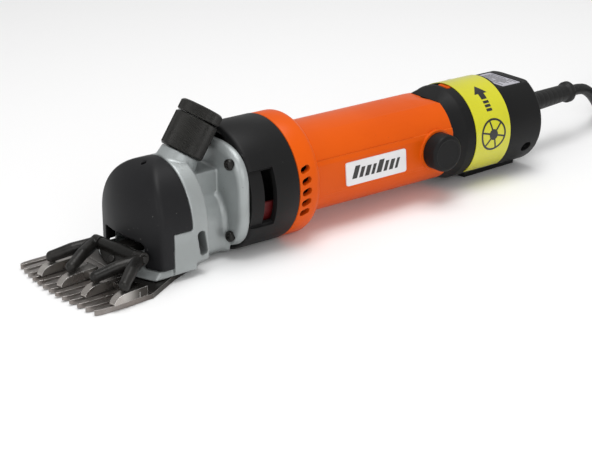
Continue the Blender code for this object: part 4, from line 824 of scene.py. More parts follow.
def makeHood():
    made = draft(dome(0, hood["footZ"], hood["rear"] + gap), onHandle)
    half = hood["mouth"] / 2
    mouth = [(-half, hood["footZ"] - 3), (half, hood["footZ"] - 3), (half, hood["mouthZ"] - 1.5),
             (half - 2, hood["mouthZ"]), (0, hood["mouthZ"] + 0.8), (-half + 2, hood["mouthZ"]),
             (-half, hood["mouthZ"] - 1.5)]
    cut(made, [dome(hood["wall"], hood["footZ"] - 5, hood["rear"] - 5),
               extruded(mouth, hood["legRear"] - 2, hood["front"] + 5, "X"),
               block((hood["rear"] - 5, -40, hood["footZ"] - 5), (hood["legRear"], 40, hood["notchZ"])),
               rod((hood["rear"] + 9, 0, hood["topZ"] - 6), (hood["rear"] + 11, 0, hood["topZ"] + 4), 1.5)],
        onHandle)
    melt(made, 0.5, 2)
    return piece("headHood", made, "hoodBlack", stands=["head_hood"], angle=60)


makeHood()
print("hood")


# Cast head

head = {"blockRear": 55.5, "wall": 3.0, "under": -30.4, "barrel": 17.8, "barrelWall": 2.4, "crankZ": -13.3,
        "flangeFront": 36.5, "caseEnd": 30.5, "flangeHalfWidth": 31.6, "flangeHalfHeight": 28.6,
        "square": 3.1,
        "chamfer": 3.3, "bedTop": 7.4, "bedFront": 26.5, "lip": 4.2, "boss": 10.4, "bossLength": 13.0,
        "bossWeb": 20.8, "screwY": 22.0, "screwZ": 19.8, "nutBore": 6.2, "bearing": 9.5}


def barrelRow(x, flare):
    radius = head["barrel"] + flare
    floor = head["crankZ"] - head["barrel"] + 1
    top = arc((0, head["crankZ"]), radius, 0, 180, 40)
    return [(x, y, z) for y, z in [(radius - 3, floor), (radius, floor + 3)] + top
            + [(-radius, floor + 3), (3 - radius, floor)]]


def bedRow(z, setBack):
    half = hood["halfWidth"] - 1 - setBack * 0.25
    side = [(head["bedFront"] - setBack - y ** 2 / (2 * hood["bow"]), y) for y in (3, 6, 9, 12, 15, 18, 21,
                                                                                   24, half)]
    side.append((pivotX - 6, half - 2))
    return [(x, y, z) for x, y in side] + [(x, -y, z) for x, y in reversed(side)]


def flangeRow(x, inset):
    made = []
    for step in range(120):
        t = radians(3 * step)
        y = (head["flangeHalfWidth"] - inset) * abs(cos(t)) ** (2 / head["square"])
        z = (head["flangeHalfHeight"] - inset) * abs(sin(t)) ** (2 / head["square"])
        made.append((x, y if cos(t) > 0 else -y, z if sin(t) > 0 else -z))
    return made


def makeHead():
    lean = radians(nutLean)
    up = Vector((-sin(lean), 0, cos(lean)))
    base = nutBase
    barrel = (0, head["crankZ"])
    half = hood["halfWidth"]
    rows = []
    for step in range(41):
        z = hood["springZ"] + (hood["topZ"] - hood["springZ"]) * sin(radians(90 * step / 40))
        rows.append((archHalf(z, 0), z))
    outline = [(-22, head["under"]), (22, head["under"]), (half, -25)] + rows
    outline += [(-y, z) for y, z in reversed(rows[:-1])] + [(-half, -25)]
    made = draft(extruded(outline, head["blockRear"], hood["rear"], "X"), onHandle)
    parts = []
    for side in (-1, 1):
        wall = sorted((side * half, side * (half - head["wall"])))
        parts.append(block((hood["rear"] - 2, wall[0], -29.5),
                           (hood["legRear"] - gap, wall[1], hood["notchZ"] - gap)))
    parts.append(lofted([barrelRow(head["flangeFront"] - 2, 3.0), barrelRow(head["flangeFront"] + 0.8, 0.9),
                         barrelRow(head["flangeFront"] + 2.2, 0), barrelRow(head["blockRear"] + 3, 0)]))
    low = head["caseEnd"] + gap
    front = head["flangeFront"]
    parts.append(lofted([flangeRow(low, 0.3), flangeRow(low + 0.4, 0), flangeRow(low + 2.2, 0),
                         flangeRow(front - 1.9, head["chamfer"] * 0.16),
                         flangeRow(front - 0.8, head["chamfer"] * 0.5),
                         flangeRow(front, head["chamfer"])]))
    hub = head["caseEnd"] - 4.5
    parts.append(ring(hub, front - 1, head["bearing"] + gap, head["bearing"] + 3.4, 48, barrel))
    parts.append(rod(base - up * head["bossLength"], base - up * gap, head["boss"] + 1.6, head["boss"], 56))
    parts.append(rod(base - up * 3, base + up * 9, head["nutBore"] - gap, steps=48))
    parts.append(block((front - 1, -head["bossWeb"] / 2, head["crankZ"] + 10),
                       (head["blockRear"] + 2, head["bossWeb"] / 2, nutBase.z - head["bossLength"] + 3), 1.0))
    join(made, parts, onHandle)
    join(made, [lofted([bedRow(combTop + gap, 0), bedRow(combTop + gap + 0.8, 0),
                        bedRow(head["bedTop"], head["lip"])])])
    inner = half - head["wall"]
    hollow = [(-inner, -23.6), (inner, -23.6), (inner, hood["springZ"]), (inner * 0.8, 9), (inner * 0.45, 17),
              (-inner * 0.45, 17), (-inner * 0.8, 9), (-inner, hood["springZ"])]
    chamber = head["barrel"] - head["barrelWall"]
    cuts = [extruded(hollow, head["blockRear"] + 3.2, hood["rear"] + 5, "X"),
            turned([(front + 1.4, 0), (front + 1.4, chamber), (head["blockRear"] + 6, chamber),
                    (head["blockRear"] + 6, 0)], 64, barrel),
            turned([(hub - 2, 0), (hub - 2, head["bearing"] + gap), (front + 6, head["bearing"] + gap),
                    (front + 6, 0)],
                   48, barrel),
            rod(base - up * (head["bossLength"] + 12), base + up * 12, 3.5),
            block((hood["rear"], -40, hood["notchZ"] - gap / 2), (hood["rear"] + 30, 40, 60))]
    for side in (-1, 1):
        wide = sorted((side * (head["barrel"] + 0.4), side * 40))
        under = turnShape(block((-30, wide[0], -30), (0, wide[1], 0)), 27, "Y")
        cuts.append(moveShape(under, (hood["rear"] + 0.6, 0, head["under"])))
        wallY = side * half
        slot = block((-2.3, min(wallY - side * 12, wallY + side * 2), -6.6),
                     (2.3, max(wallY - side * 12, wallY + side * 2), 6.6), 1.5)
        cuts.append(moveShape(turnShape(slot, 9, "Y"), (head["blockRear"] + 3.6, 0, -16.0)))
        for height in (-1, 1):
            at = (side * head["screwY"], height * head["screwZ"])
            cuts.append(turned([(hub, 0), (hub, 2.2), (front + 3, 2.2), (front + 3, 0)], 24, at))
    cut(made, cuts, onHandle)
    holes = [rod((0, side * 16.0, 0), (0, side * 16.0, head["bedTop"] + 2), 2.7) for side in (-1, 1)]
    holes.append(rod((pivotX, 0, combTop - 1), (pivotX, 0, head["bedTop"] + 3), 4.3))
    holes.append(block((pivotX - 8, -60, -10), (60, 60, combTop + gap)))
    cut(made, holes)
    melt(made, 0.55, 4)
    return piece("headHousing", made, "silverPaint", stands=["head_housing"], angle=60)


makeHead()


def crossCuts(low, high, reach):
    return [block((low, -reach, -0.35), (high, reach, 0.35)),
            block((low, -0.35, -reach), (high, 0.35, reach))]


def makeFlangeScrews():
    low = head["flangeFront"] + gap
    top = 2.6
    profile = [(0, 0), (0, 3.0), (1.0, 3.05), (1.6, 2.8), (2.1, 2.2), (2.45, 1.4), (top, 0.6), (top, 0)]
    screw = draft(turned(profile, 40))
    cut(screw, crossCuts(top - 1.1, top + 1, 1.9))
    join(screw, [rod((-7.5, 0, 0), (0.4, 0, 0), 1.9)])
    shape = bmesh.new()
    for side in (-1, 1):
        for height in (-1, 1):
            shape.verts.new((low, side * head["screwY"], height * head["screwZ"]))
    made = draft(shape)
    applyTree(made, copies, {"Screw": screw, "Look": looks["blackOxide"]})
    made.data.transform(onHandle)
    bpy.data.objects.remove(screw)
    return piece("flangeScrews", made, "blackOxide",
                 stands=["flange_screw_lower_left", "flange_screw_lower_right", "flange_screw_upper_left",
                         "flange_screw_upper_right"])


makeFlangeScrews()
print("cast head and its screws")


# Tension nut and its ring

def makeNut():
    nut = {"radius": 11.8, "length": 19.3, "bore": 6.2, "groove": 0.5, "ring": 6.2, "ridges": 104,
           "ridge": 0.62}
    r = nut["radius"]
    skin = r - 0.42
    profile = [(0, nut["bore"]), (nut["length"], nut["bore"]), (nut["length"], r - 0.9),
               (nut["length"] - 0.5, r - 0.3),
               (nut["length"] - 0.7, skin), (0.9, skin), (0.6, r - 0.3), (0, r - 0.8)]
    low = nut["length"] + nut["groove"]
    top = low + nut["ring"]
    cap = [(low, 0), (low, r - 0.5), (low + 0.3, r - 0.3), (low + 0.5, skin), (top - 1.1, skin),
           (top - 0.9, r - 0.2),
           (top - 0.3, r - 0.8), (top, r - 1.5), (top, 8.0), (top - 0.5, 7.6), (top - 0.5, 0)]
    upright = Matrix.Rotation(radians(-90), 4, "Y")
    for name, shape, first, last, node in (("tensionNut", turned(profile, 96, closed=True), 0.9,
                                            nut["length"] - 0.7,
                                            "tension_nut"),
                                           ("nutLockRing", turned(cap, 96), low + 0.5, top - 1.1,
                                            "nut_lock_ring")):
        made = draft(shape, upright)
        applyTree(made, ridges, {"Count": nut["ridges"], "Radius": skin - 0.02, "Length": last - first,
                                 "Width": nut["ridge"], "Low": (first + last) / 2, "Look": looks["nutOxide"]})
        made.data.transform(onNut)
        piece(name, made, "nutOxide", "tension_nut", [node])


makeNut()
print("tension nut")


# Fork, its two yokes and the cutter

crank = {"reach": 16.0, "roller": 2.7, "rollerLength": 6.0, "throw": 2.7}
fork = {"height": 15.6, "thickness": 5.0, "crosshead": 36.0, "webLength": 8.5, "webThickness": 3.6,
        "webSlope": 50.0,
        "spread": 16.6, "hub": 5.2, "hubRadius": 3.6, "arm": 3.4, "pin": 1.7, "ear": 1.8, "tips": 66.0,
        "footBack": 8.6}
cutter = {"points": 4, "pitch": 18.7, "height": 4.8, "pointLength": 19.5, "pointWidth": 7.0, "bar": 7.5}


def cutterY(index):
    return (index - (cutter["points"] - 1) / 2) * cutter["pitch"]


def cutterTip(index):
    return fork["tips"] + (2.6 if abs(cutterY(index)) < cutter["pitch"] else 0)


def makeFork():
    height = fork["height"]
    low = height - fork["thickness"] / 2
    high = height + fork["thickness"] / 2
    reach = fork["crosshead"]
    slot = crank["roller"] + 2 * crank["throw"] + 2 * gap
    ear = slot + fork["ear"]
    rear = -crank["reach"] - crank["rollerLength"] / 2 - 0.2
    throat = -crank["reach"] + crank["rollerLength"] / 2 + 1.4
    outline = [(rear, -ear), (throat + 3, -ear), (throat + 8, -7.0), (8, -7.5), (reach - 8, -4.6),
               (reach, -5.2),
               (reach, 5.2), (reach - 8, 4.6), (8, 7.5), (throat + 8, 7.0), (throat + 3, ear), (rear, ear),
               (rear, slot), (throat, slot), (throat, -slot), (rear, -slot)]
    made = draft(extruded(outline, low, high), onFork)
    rollerZ = (onHandle @ Vector((pivotX + combReach - crank["reach"], 0, head["crankZ"]))).z
    parts = []
    for side in (-1, 1):
        ends = sorted((side * slot, side * ear))
        parts.append(block((rear, ends[0], low + 0.5), (throat + 1.5, ends[1], rollerZ + 3.2)))
        armEnd = side * (fork["spread"] - fork["hub"] / 2 - gap)
        parts.append(rod((reach, 0, height), (reach, armEnd, height), 3.9, 3.2))
    # the sloping web is narrow at the foot and runs up to both arms
    web = [(-2, -12.0), (1.5, -12.6), (4.5, -10.4), (fork["webLength"] - 1.5, -7.2),
           (fork["webLength"], -4.4),
           (fork["webLength"], 4.4), (fork["webLength"] - 1.5, 7.2), (4.5, 10.4), (1.5, 12.6), (-2, 12.0)]
    plate = turnShape(extruded(web, -fork["webThickness"] / 2, fork["webThickness"] / 2), fork["webSlope"],
                      "Y")
    parts.append(moveShape(plate, (reach, 0, height)))
    base = onHandle @ nutBase
    cupX = base.x + (base.z - high) * tan(radians(nutLean)) - pivotX
    parts.append(rod((cupX - 4, 0, high - 1), (cupX - 4, 0, high + 2.2), 6.4, 5.4))
    join(made, parts, onFork)
    cut(made, [rod((0, 0, low - 1), (0, 0, height + 0.4), 4.6)], onFork)
    melt(made, 0.38, 3)
    join(made, [rod((reach, side * 12, height), (reach, side * (fork["spread"] + fork["hub"] / 2 + gap),
                                                 height),
                    fork["pin"]) for side in (-1, 1)], onFork)
    return piece("forkLever", made, "blackOxide", "fork", ["fork"], angle=50)


def makeYokes():
    top = combTop + gap + cutter["height"]
    for side, name in ((-1, "right"), (1, "left")):
        centre = Vector((fork["crosshead"], side * fork["spread"], fork["height"]))
        half = Vector((0, fork["hub"] / 2, 0))
        made = draft(rod(centre - half, centre + half, fork["hubRadius"]), onFork)
        parts = []
        dots = []
        for index in range(cutter["points"]):
            y = cutterY(index)
            if y * side < 0:
                continue
            footX = cutterTip(index) - fork["footBack"]
            elbow = Vector((footX, y, top + 3.2))
            start = centre + Vector((2.0, 0.8 * side, -0.4))
            middle = (start + elbow) / 2 + Vector((0.5, 0, 0.7))
            parts.append(rod(start, middle, fork["arm"], fork["arm"] - 0.1))
            parts.append(rod(middle, elbow, fork["arm"] - 0.1, fork["arm"] - 0.4))
            parts.append(ball(middle, fork["arm"] - 0.1))
            parts.append(ball(elbow, fork["arm"] - 0.35))
            parts.append(rod(elbow, (footX - 0.2, y, top + 1.2), 2.9, 2.7))
            for pin in (-1, 1):
                dots.append(Vector((footX - 0.2, y + pin * 1.4, top)))
        join(made, parts, onFork)
        cut(made, [rod(centre - 2 * half, centre + 2 * half, fork["pin"] + gap)], onFork)
        melt(made, 0.33, 3)
        join(made, [rod(at + Vector((0, 0, gap)), at + Vector((0, 0, 2.2)), 0.75, steps=16) for at in dots],
             onFork)
        piece(name + "Yoke", made, "blackOxide", name + "_yoke", [name + "_yoke"], angle=50)


def makeRivet():
    slope = radians(fork["webSlope"])
    out = Vector((sin(slope), 0, cos(slope)))
    along = Vector((cos(slope), 0, -sin(slope)))
    at = Vector((fork["crosshead"], 0, fork["height"])) + along * 6.0 + out * (fork["webThickness"] / 2 + gap)
    profile = [(-0.6, 0), (-0.6, 1.9), (0, 2.1), (0.4, 2.05), (0.7, 1.75), (0.8, 1.2), (0.8, 0)]
    shape = turned(profile, 32)
    turn = Vector((1, 0, 0)).rotation_difference(out).to_matrix().to_4x4()
    bmesh.ops.transform(shape, matrix=Matrix.Translation(at) @ turn, verts=shape.verts)
    piece("crossheadRivet", draft(shape, onFork), "blackOxide", "fork", ["crosshead_rivet"])


def makeCutter():
    low = combTop + gap
    top = low + cutter["height"]
    rear = fork["tips"] - cutter["pointLength"]
    half = cutterY(cutter["points"] - 1) + cutter["pointWidth"] / 2
    depth = cutter["bar"]
    bar = [(rear - 3.5, -half + 3), (rear + depth - 3.5, -half), (rear + depth - 2.4, 0),
           (rear + depth - 3.5, half),
           (rear - 3.5, half - 3), (rear - 1.5, 0)]
    made = draft(extruded(bar, low, top - 2.0), onFork)
    points = []
    for index in range(cutter["points"]):
        tip = cutterTip(index)
        rise = [(tip - 8.5 * (1 - cos(t)), low + 0.3 + (cutter["height"] - 0.3) * sin(t))
                for t in (radians(6 * step) for step in range(16))]
        sideView = [(rear - 1, low), (tip - 0.2, low)] + rise + [(rear - 1, top)]
        shape = extruded(sideView, -cutter["pointWidth"] / 2, cutter["pointWidth"] / 2, "Y")
        for vert in shape.verts:
            share = max(0.0, (vert.co.x - rear) / (tip - rear))
            vert.co.y *= 1 - 0.45 * share
        points.append(moveShape(shape, (0, cutterY(index), 0)))
    join(made, points, onFork)
    return piece("cutterPlate", made, "cutterSteel", "fork", ["cutter"], angle=30)


makeFork()
makeYokes()
makeRivet()
makeCutter()
print("fork, yokes and cutter")


# Comb

comb = {"width": 76.0, "teeth": 13, "tip": 65.6, "bow": 4.6, "toothLength": 33.0, "tooth": 3.7, "heel": -7.0,
        "heelWidth": 44.0, "screws": 32.0}


def makeComb():
    half = comb["width"] / 2
    step = (comb["width"] - comb["tooth"] * 0.5) / (comb["teeth"] - 1)
    root = comb["tip"] - comb["toothLength"]
    outline = []
    for index in range(comb["teeth"]):
        y = (index - (comb["teeth"] - 1) / 2) * step
        tip = comb["tip"] - comb["bow"] * (2 * y / comb["width"]) ** 2
        side = comb["tooth"] / 2
        near = [(root, side), (tip - 18, side * 0.98), (tip - 7, side * 0.92), (tip - 3, side * 0.78),
                (tip - 0.8, side * 0.42), (tip - 0.2, side * 0.2)]
        outline += [(x, y - w) for x, w in near] + [(tip, y)] + [(x, y + w) for x, w in reversed(near)]
    outline[0] = (root - 2, -half)
    outline[-1] = (root - 2, half)
    heel = comb["heelWidth"] / 2
    rearX = comb["heel"]
    outline += [(root - 5, half), (rearX + 14, heel + 4), (rearX, heel - 2), (rearX, 2 - heel),
                (rearX + 14, -heel - 4), (root - 5, -half)]
    made = draft(extruded(outline, 0, combTop))
    rise = turnShape(block((-18, -comb["width"], -6), (12, comb["width"], 0)), -9, "Y")
    cuts = [moveShape(rise, (comb["tip"] - 8, 0, -0.4))]
    for side in (-1, 1):
        y = side * comb["screws"] / 2
        cuts += [block((rearX - 3, y - 2.7, -1), (0, y + 2.7, combTop + 1)),
                 rod((0, y, -1), (0, y, combTop + 1), 2.7),
                 block((rearX - 3, y - 5.0, -1), (0, y + 5.0, 1.8)), rod((0, y, -1), (0, y, 1.8), 5.0)]
    # a ground hollow runs across under the cutter's bar
    cuts.append(block((root - 4.5, -half - 2, combTop - 0.35), (root - 1.5, half + 2, combTop + 1)))
    cut(made, cuts)
    return piece("combPlate", made, "combSteel", stands=["comb"], angle=30)


makeComb()
print("comb")


# Gear case

def wedge(inner, outer, low, high, first, last):
    steps = 24
    return extruded(arc((0, 0), outer, first, last, steps) + arc((0, 0), inner, last, first, steps), low,
                    high, "X")


def makeCase():
    case = {"length": 30.5, "radius": 34.5, "wall": 3.6, "low": -26.0, "high": 29.0, "windowRear": 15.5,
            "depth": 1.5,
            "slot": 7.0}
    r = case["radius"]
    end = case["length"]
    inner = r - case["wall"]
    profile = [(gap, r - 0.6), (gap + 0.3, r - 0.2), (gap + 0.8, r), (end - 2.5, r), (end - 1.0, r - 0.4),
               (end - 0.3, r - 0.9), (end, r - 1.5), (end, inner), (9.5, inner), (9.5, 12.5), (9.5, 9.8),
               (gap, 9.8)]
    made = draft(turned(profile, 144, closed=True), onHandle)
    lugs = []
    cuts = []
    for side in (1, -1):
        window = wedge(r - case["depth"], r + 3, case["windowRear"], end + 2, case["low"], case["high"])
        slot = wedge(inner - 2, r + 3, case["windowRear"], case["windowRear"] + case["slot"], case["low"] + 1,
                     case["high"] - 1)
        for shape in (window, slot):
            if side < 0:
                bmesh.ops.scale(shape, verts=shape.verts, vec=(1, -1, 1))
            cuts.append(shape)
        for height in (-1, 1):
            at = (side * head["screwY"], height * head["screwZ"])
            lugs.append(turned([(end - 9, 0), (end - 9, 4.6), (end, 4.6), (end, 0)], 32, at))
            cuts.append(turned([(end - 4, 0), (end - 4, 2.2), (end + 2, 2.2), (end + 2, 0)], 24, at))
    join(made, lugs, onHandle)
    cut(made, cuts, onHandle)
    return piece("gearCase", made, "blackPlastic", stands=["gear_case"])


makeCase()


# Motor housing

housing = {"length": 116.7, "collar": 34.3, "collarLength": 10.5, "grip": 25.7, "bore": 22.6,
           "collarBore": 31.0,
           "boreDepth": 14.0, "flat": 24.9, "flatHeight": 10.2, "tailFlat": 22.3, "ramp": 18.0,
           "brushX": -104.0,
           "cap": 10.6, "vents": 5, "ventPitch": 6.0, "ventMiddle": -0.8, "ventX": -4.6, "ventLength": 6.4,
           "ventHeight": 3.7, "ventSlant": 17.0, "lineY": 23.75, "lineEnd": -88.0, "brushHole": 5.9}


def ventShape(z, side):
    half = housing["ventHeight"] / 2
    run = housing["ventLength"] / 2 - half
    outline = arc((run, 0), half, -90, 90, 12) + arc((-run, 0), half, 90, 270, 12)
    inner = housing["collarBore"] - 9
    span = sorted((side * inner, side * (housing["collar"] + 4)))
    shape = turnShape(extruded(outline, span[0], span[1], "Y"), housing["ventSlant"], "Y")
    return moveShape(shape, (housing["ventX"], 0, z))


def makeHousing():
    collar = housing["collar"]
    long = housing["collarLength"]
    grip = housing["grip"]
    end = housing["length"]
    corner = collar - grip
    profile = [(0, collar - 0.5), (-0.2, collar - 0.15), (-0.6, collar), (-long, collar)]
    profile += [(-long - 4.6 * sin(radians(a)), collar - 4.6 * (1 - cos(radians(a)))) for a in range(10, 85,
                                                                                                     8)]
    profile += [(-long - 5.0, grip + corner * 0.32), (-long - 5.3, grip + 1.9), (-long - 5.9, grip + 1.0),
                (-long - 6.9, grip + 0.35), (-long - 8.2, grip), (-end, grip), (-end, housing["bore"]),
                (-housing["boreDepth"] - 4, housing["bore"]), (-housing["boreDepth"], housing["collarBore"]),
                (0, housing["collarBore"])]
    made = draft(turned(profile, 160, closed=True), onHandle)
    front = -long - 8.2
    flatHeight = housing["flatHeight"]
    joins = []
    cuts = []
    grooves = []
    for side in (-1, 1):
        # a flat panel on each side, with a fine line along its top
        panel = [(21, -flatHeight), (24.15, -flatHeight), (housing["flat"], -7.8), (housing["flat"], 7.8),
                 (24.15, flatHeight), (21, flatHeight)]
        joins.append(extruded([(side * y, z) for y, z in panel], -end, front + 1.5, "X"))
        span = sorted((side * housing["flat"], side * (grip + 8)))
        cuts.append(block((-end - 5, span[0], -flatHeight), (front, span[1], flatHeight)))
        joins.append(rod((housing["brushX"], side * 23.8, 0), (housing["brushX"], side * (grip + 0.1), 0),
                         housing["cap"] + 1.2, steps=72))
        grooves.append(rod((front + 1.0, side * housing["lineY"], flatHeight + 0.1),
                           (housing["lineEnd"], side * housing["lineY"], flatHeight + 0.1), 0.32, steps=8))
        grooves.append(rod((housing["brushX"], side * (housing["bore"] - 4), 0),
                           (housing["brushX"], side * (grip + 4), 0), housing["brushHole"], steps=40))
        for index in range(housing["vents"]):
            z = housing["ventMiddle"] + (index - (housing["vents"] - 1) / 2) * housing["ventPitch"]
            grooves.append(ventShape(z, side))
    cut(made, cuts, onHandle)
    join(made, joins, onHandle)
    grooves.append(block((-end - 20, -60, -60), (-end, 60, 60)))
    ramp = turnShape(block((-40, -30, 0), (60, 30, 20)),
                     -degrees(atan2(grip - housing["tailFlat"], housing["ramp"])), "Y")
    grooves.append(moveShape(ramp, (-end, 0, housing["tailFlat"])))
    cut(made, grooves, onHandle)
    return piece("motorHousing", made, "housingOrange", stands=["motor_housing"], angle=28)


def makeBrushCaps():
    for side, name in ((-1, "right"), (1, "left")):
        low = housing["grip"] + 0.1 + gap
        r = housing["cap"]
        top = 35.2
        profile = [(low, 0), (low, r), (top - 1.6, r), (top - 0.9, r - 0.25), (top - 0.3, r - 0.8),
                   (top, r - 1.5),
                   (top, r - 2.3), (top - 0.2, r - 2.5), (top - 0.2, 0)]
        shape = turnShape(turned(profile, 96), 90 * side, "Z")
        piece("brushCap_" + name, draft(moveShape(shape, (housing["brushX"], 0, 0)), onHandle),
              "blackPlastic",
              stands=["brush_cap_" + name], angle=25)


makeHousing()
makeBrushCaps()
print("gear case and motor housing")


# Tail

tail = {"length": 70.3, "radius": 27.6, "wall": 2.6, "collar": 9.5, "topZ": 23.5, "topLength": 25.5,
        "footX": -141.0,
        "footLength": 41.0, "footWidth": 18.0, "screwAngle": -28.0, "screwX": -176.5, "switchX": -135.5,
        "pocket": 15.0, "pocketWidth": 12.0, "pocketDepth": 3.4}


def makeTail():
    front = -housing["length"] - gap
    rear = -housing["length"] - tail["length"]
    r = tail["radius"]
    inner = r - tail["wall"]
    collarEnd = front - tail["collar"]
    outside = [(front, housing["grip"] - 0.2), (collarEnd + 1.5, r - 0.5), (collarEnd + 0.6, r - 0.12),
               (collarEnd, r),
               (rear + 3.0, r)]
    outside += [(rear + 3.0 * (1 - sin(radians(a))), r - 3.0 * (1 - cos(radians(a)))) for a in range(10, 91,
                                                                                                     10)]
    inside = [(rear, 3.6), (rear + 3.4, 3.6), (rear + 3.4, inner - 3), (rear + 6, inner - 1.2),
              (collarEnd, inner - 1.2),
              (collarEnd, 12.5), (collarEnd, 4.0), (collarEnd + 2, 4.0), (collarEnd + 2, 9.8), (front, 9.8)]
    made = draft(turned(outside + inside, 160, closed=True), onHandle)
    ramp = turnShape(block((-40, -30, 0), (40, 30, 20)),
                     degrees(atan2(r - housing["tailFlat"], tail["collar"])), "Y")
    cuts = [moveShape(ramp, (-housing["length"], 0, housing["tailFlat"])),
            block((rear - 5, -40, tail["topZ"]), (rear + tail["topLength"], 40, 60)),
            block((rear + 6 - 0.7, -13.7, tail["topZ"] - 0.9), (rear + 20.5 + 0.7, 13.7, 60), 0.5)]
    lowX = tail["switchX"] - tail["pocket"] / 2
    highX = tail["switchX"] + tail["pocket"] / 2
    cuts.append(block((lowX, -tail["pocketWidth"] / 2, r - tail["pocketDepth"]),
                      (highX, tail["pocketWidth"] / 2, r + 6), 1.2))
    cuts.append(block((lowX + 2.2, -2.2, r - tail["pocketDepth"] - 8), (highX - 2.2, 2.2, r)))
    for side in (-1, 1):
        angle = tail["screwAngle"] if side > 0 else 180 - tail["screwAngle"]
        well = rod((tail["screwX"], 0, r - 6.4), (tail["screwX"], 0, r + 4), 3.6, steps=40)
        cuts.append(turnShape(well, angle - 90, "X"))
    cut(made, cuts, onHandle)
    footTop = (onHandle @ Vector((0, 0, -r + 3))).z - 1.0
    rearX = tail["footX"] - tail["footLength"] - combReach
    join(made, [block((rearX, -tail["footWidth"] / 2, 0),
                      (tail["footX"] - combReach, tail["footWidth"] / 2, footTop),
                      0.7)])
    return piece("tailCover", made, "blackPlastic", stands=["tail_cover"])


def makeTailScrews():
    for side, name in ((-1, "right"), (1, "left")):
        angle = tail["screwAngle"] if side > 0 else 180 - tail["screwAngle"]
        low = tail["radius"] - 6.4 + gap
        profile = [(0, 0), (0, 2.9), (1.3, 2.9), (1.8, 2.5), (2.2, 1.6), (2.2, 0)]
        made = draft(turned(profile, 36))
        cut(made, crossCuts(1.2, 4, 2.0))
        made.data.transform(onHandle @ Matrix.Rotation(radians(angle - 90), 4, "X")
                            @ Matrix.Translation((tail["screwX"], 0, low)) @ Matrix.Rotation(radians(-90), 4,
                                                                                             "Y"))
        piece("tailScrew_" + name, made, "brightSteel", stands=["tail_screw_" + name])


def makeSwitch():
    floor = tail["radius"] - tail["pocketDepth"] + gap
    x = tail["switchX"] + 2.0
    made = draft(block((x - 3.0, -4.2, floor), (x + 3.0, 4.2, tail["radius"] - 0.5), 0.6, 4), onHandle)
    stem = tail["radius"] - tail["wall"] - 4.2
    join(made, [block((x - 1.8, -1.6, stem), (x + 1.8, 1.6, floor + 1))], onHandle)
    cut(made, [block((x - 2.0 + 1.2 * step, -3.4, tail["radius"] - 0.9),
                     (x - 1.6 + 1.2 * step, 3.4, tail["radius"]))
               for step in range(4)], onHandle)
    piece("switchSlider", made, "housingOrange", "switch_knob", ["switch_knob"])


makeTail()
makeTailScrews()
makeSwitch()


# Printed labels

label = {"front": -132.5, "width": 27.0, "thickness": 0.35, "end": -50.0, "inner": 27.68, "lift": 0.05}


def wrapped(outline, low, high):
    # a thin patch on the tail: outline gives x and the distance round it, counted from the left side upwards
    radius = label["inner"] + label["thickness"]

    def at(x, run, height):
        t = run / radius
        return (x, (radius + height) * cos(t), (radius + height) * sin(t))

    shape = extruded(outline, low, high)
    shape.faces.ensure_lookup_table()
    bmesh.ops.triangulate(shape, faces=shape.faces)
    for _ in range(2):
        long = [edge for edge in shape.edges if abs(edge.verts[0].co.y - edge.verts[1].co.y) > 0.8]
        if long:
            bmesh.ops.subdivide_edges(shape, edges=long, cuts=2)
            bmesh.ops.triangulate(shape, faces=shape.faces)
    for vert in shape.verts:
        vert.co = at(*vert.co)
    return shape


def makeLabel():
    inner = label["inner"]
    outer = inner + label["thickness"]
    outline = arc((0, 0), outer, label["end"], 180 - label["end"], 140)
    outline += arc((0, 0), inner, 180 - label["end"], label["end"], 140)
    made = draft(extruded(outline, label["front"] - label["width"], label["front"], "X"), onHandle)
    piece("wrapLabel", made, "labelYellow", stands=["wrap_label"], angle=20)
    # an arrow with three bars above a plain ring with a spoked wheel in it
    radius = inner + label["thickness"]
    low = label["lift"]
    high = 0.11
    middle = label["front"] - label["width"] / 2
    for side in (1, -1):
        marks = [[(middle - 4.8, 27.5), (middle + 4.8, 27.5), (middle, 33.8)],
                 [(middle - 2.1, 23.4), (middle + 2.1, 23.4), (middle + 2.1, 27.8), (middle - 2.1, 27.8)]]
        for index in range(3):
            z = 21.4 - index * 2.5
            marks.append([(middle - 2.1, z - 0.85), (middle + 2.1, z - 0.85), (middle + 2.1, z + 0.85),
                          (middle - 2.1, z + 0.85)])
        shapes = [wrapped(mark, low, high) for mark in marks]
        centre = (middle, 1.5)
        for index in range(36):
            first = index * 10
            shapes.append(wrapped(arc(centre, 9.6, first, first + 10, 2) + arc(centre, 8.4, first + 10, first,
                                                                               2),
                                  low, high))
        for index in range(3):
            t = radians(60 * index + 15)
            along = Vector((cos(t), sin(t))) * 8.8
            across = Vector((-sin(t), cos(t))) * 0.5
            points = [Vector(centre) + along + across, Vector(centre) - along + across,
                      Vector(centre) - along - across, Vector(centre) + along - across]
            shapes.append(wrapped([tuple(point) for point in points], low + 0.01 * index,
                                  high + 0.01 * index))
        shapes.append(wrapped(arc(centre, 3.2, 0, 350, 35), low + 0.04, high + 0.04))
        whole = gather(shapes)
        if side < 0:
            bmesh.ops.scale(whole, verts=whole.verts, vec=(1, -1, 1))
            bmesh.ops.reverse_faces(whole, faces=whole.faces)
        bmesh.ops.transform(whole, matrix=onHandle, verts=whole.verts)
        mesh = bpy.data.meshes.new("labelPrint")
        whole.to_mesh(mesh)
        whole.free()
        made = bpy.data.objects.new("labelPrint", mesh)
        scene.collection.objects.link(made)
        piece("labelPrint_" + ("left" if side > 0 else "right"), made, "printInk")


def roundedFour(corners, radius):
    # a four-sided outline with its corners rounded
    steps = 6
    made = []
    for index in range(4):
        corner = Vector(corners[index])
        before = (Vector(corners[index - 1]) - corner).normalized() * radius
        after = (Vector(corners[(index + 1) % 4]) - corner).normalized() * radius
        for step in range(steps + 1):
            t = step / steps
            made.append(tuple(corner + before * (1 - t) ** 2 + after * t ** 2))
    return made


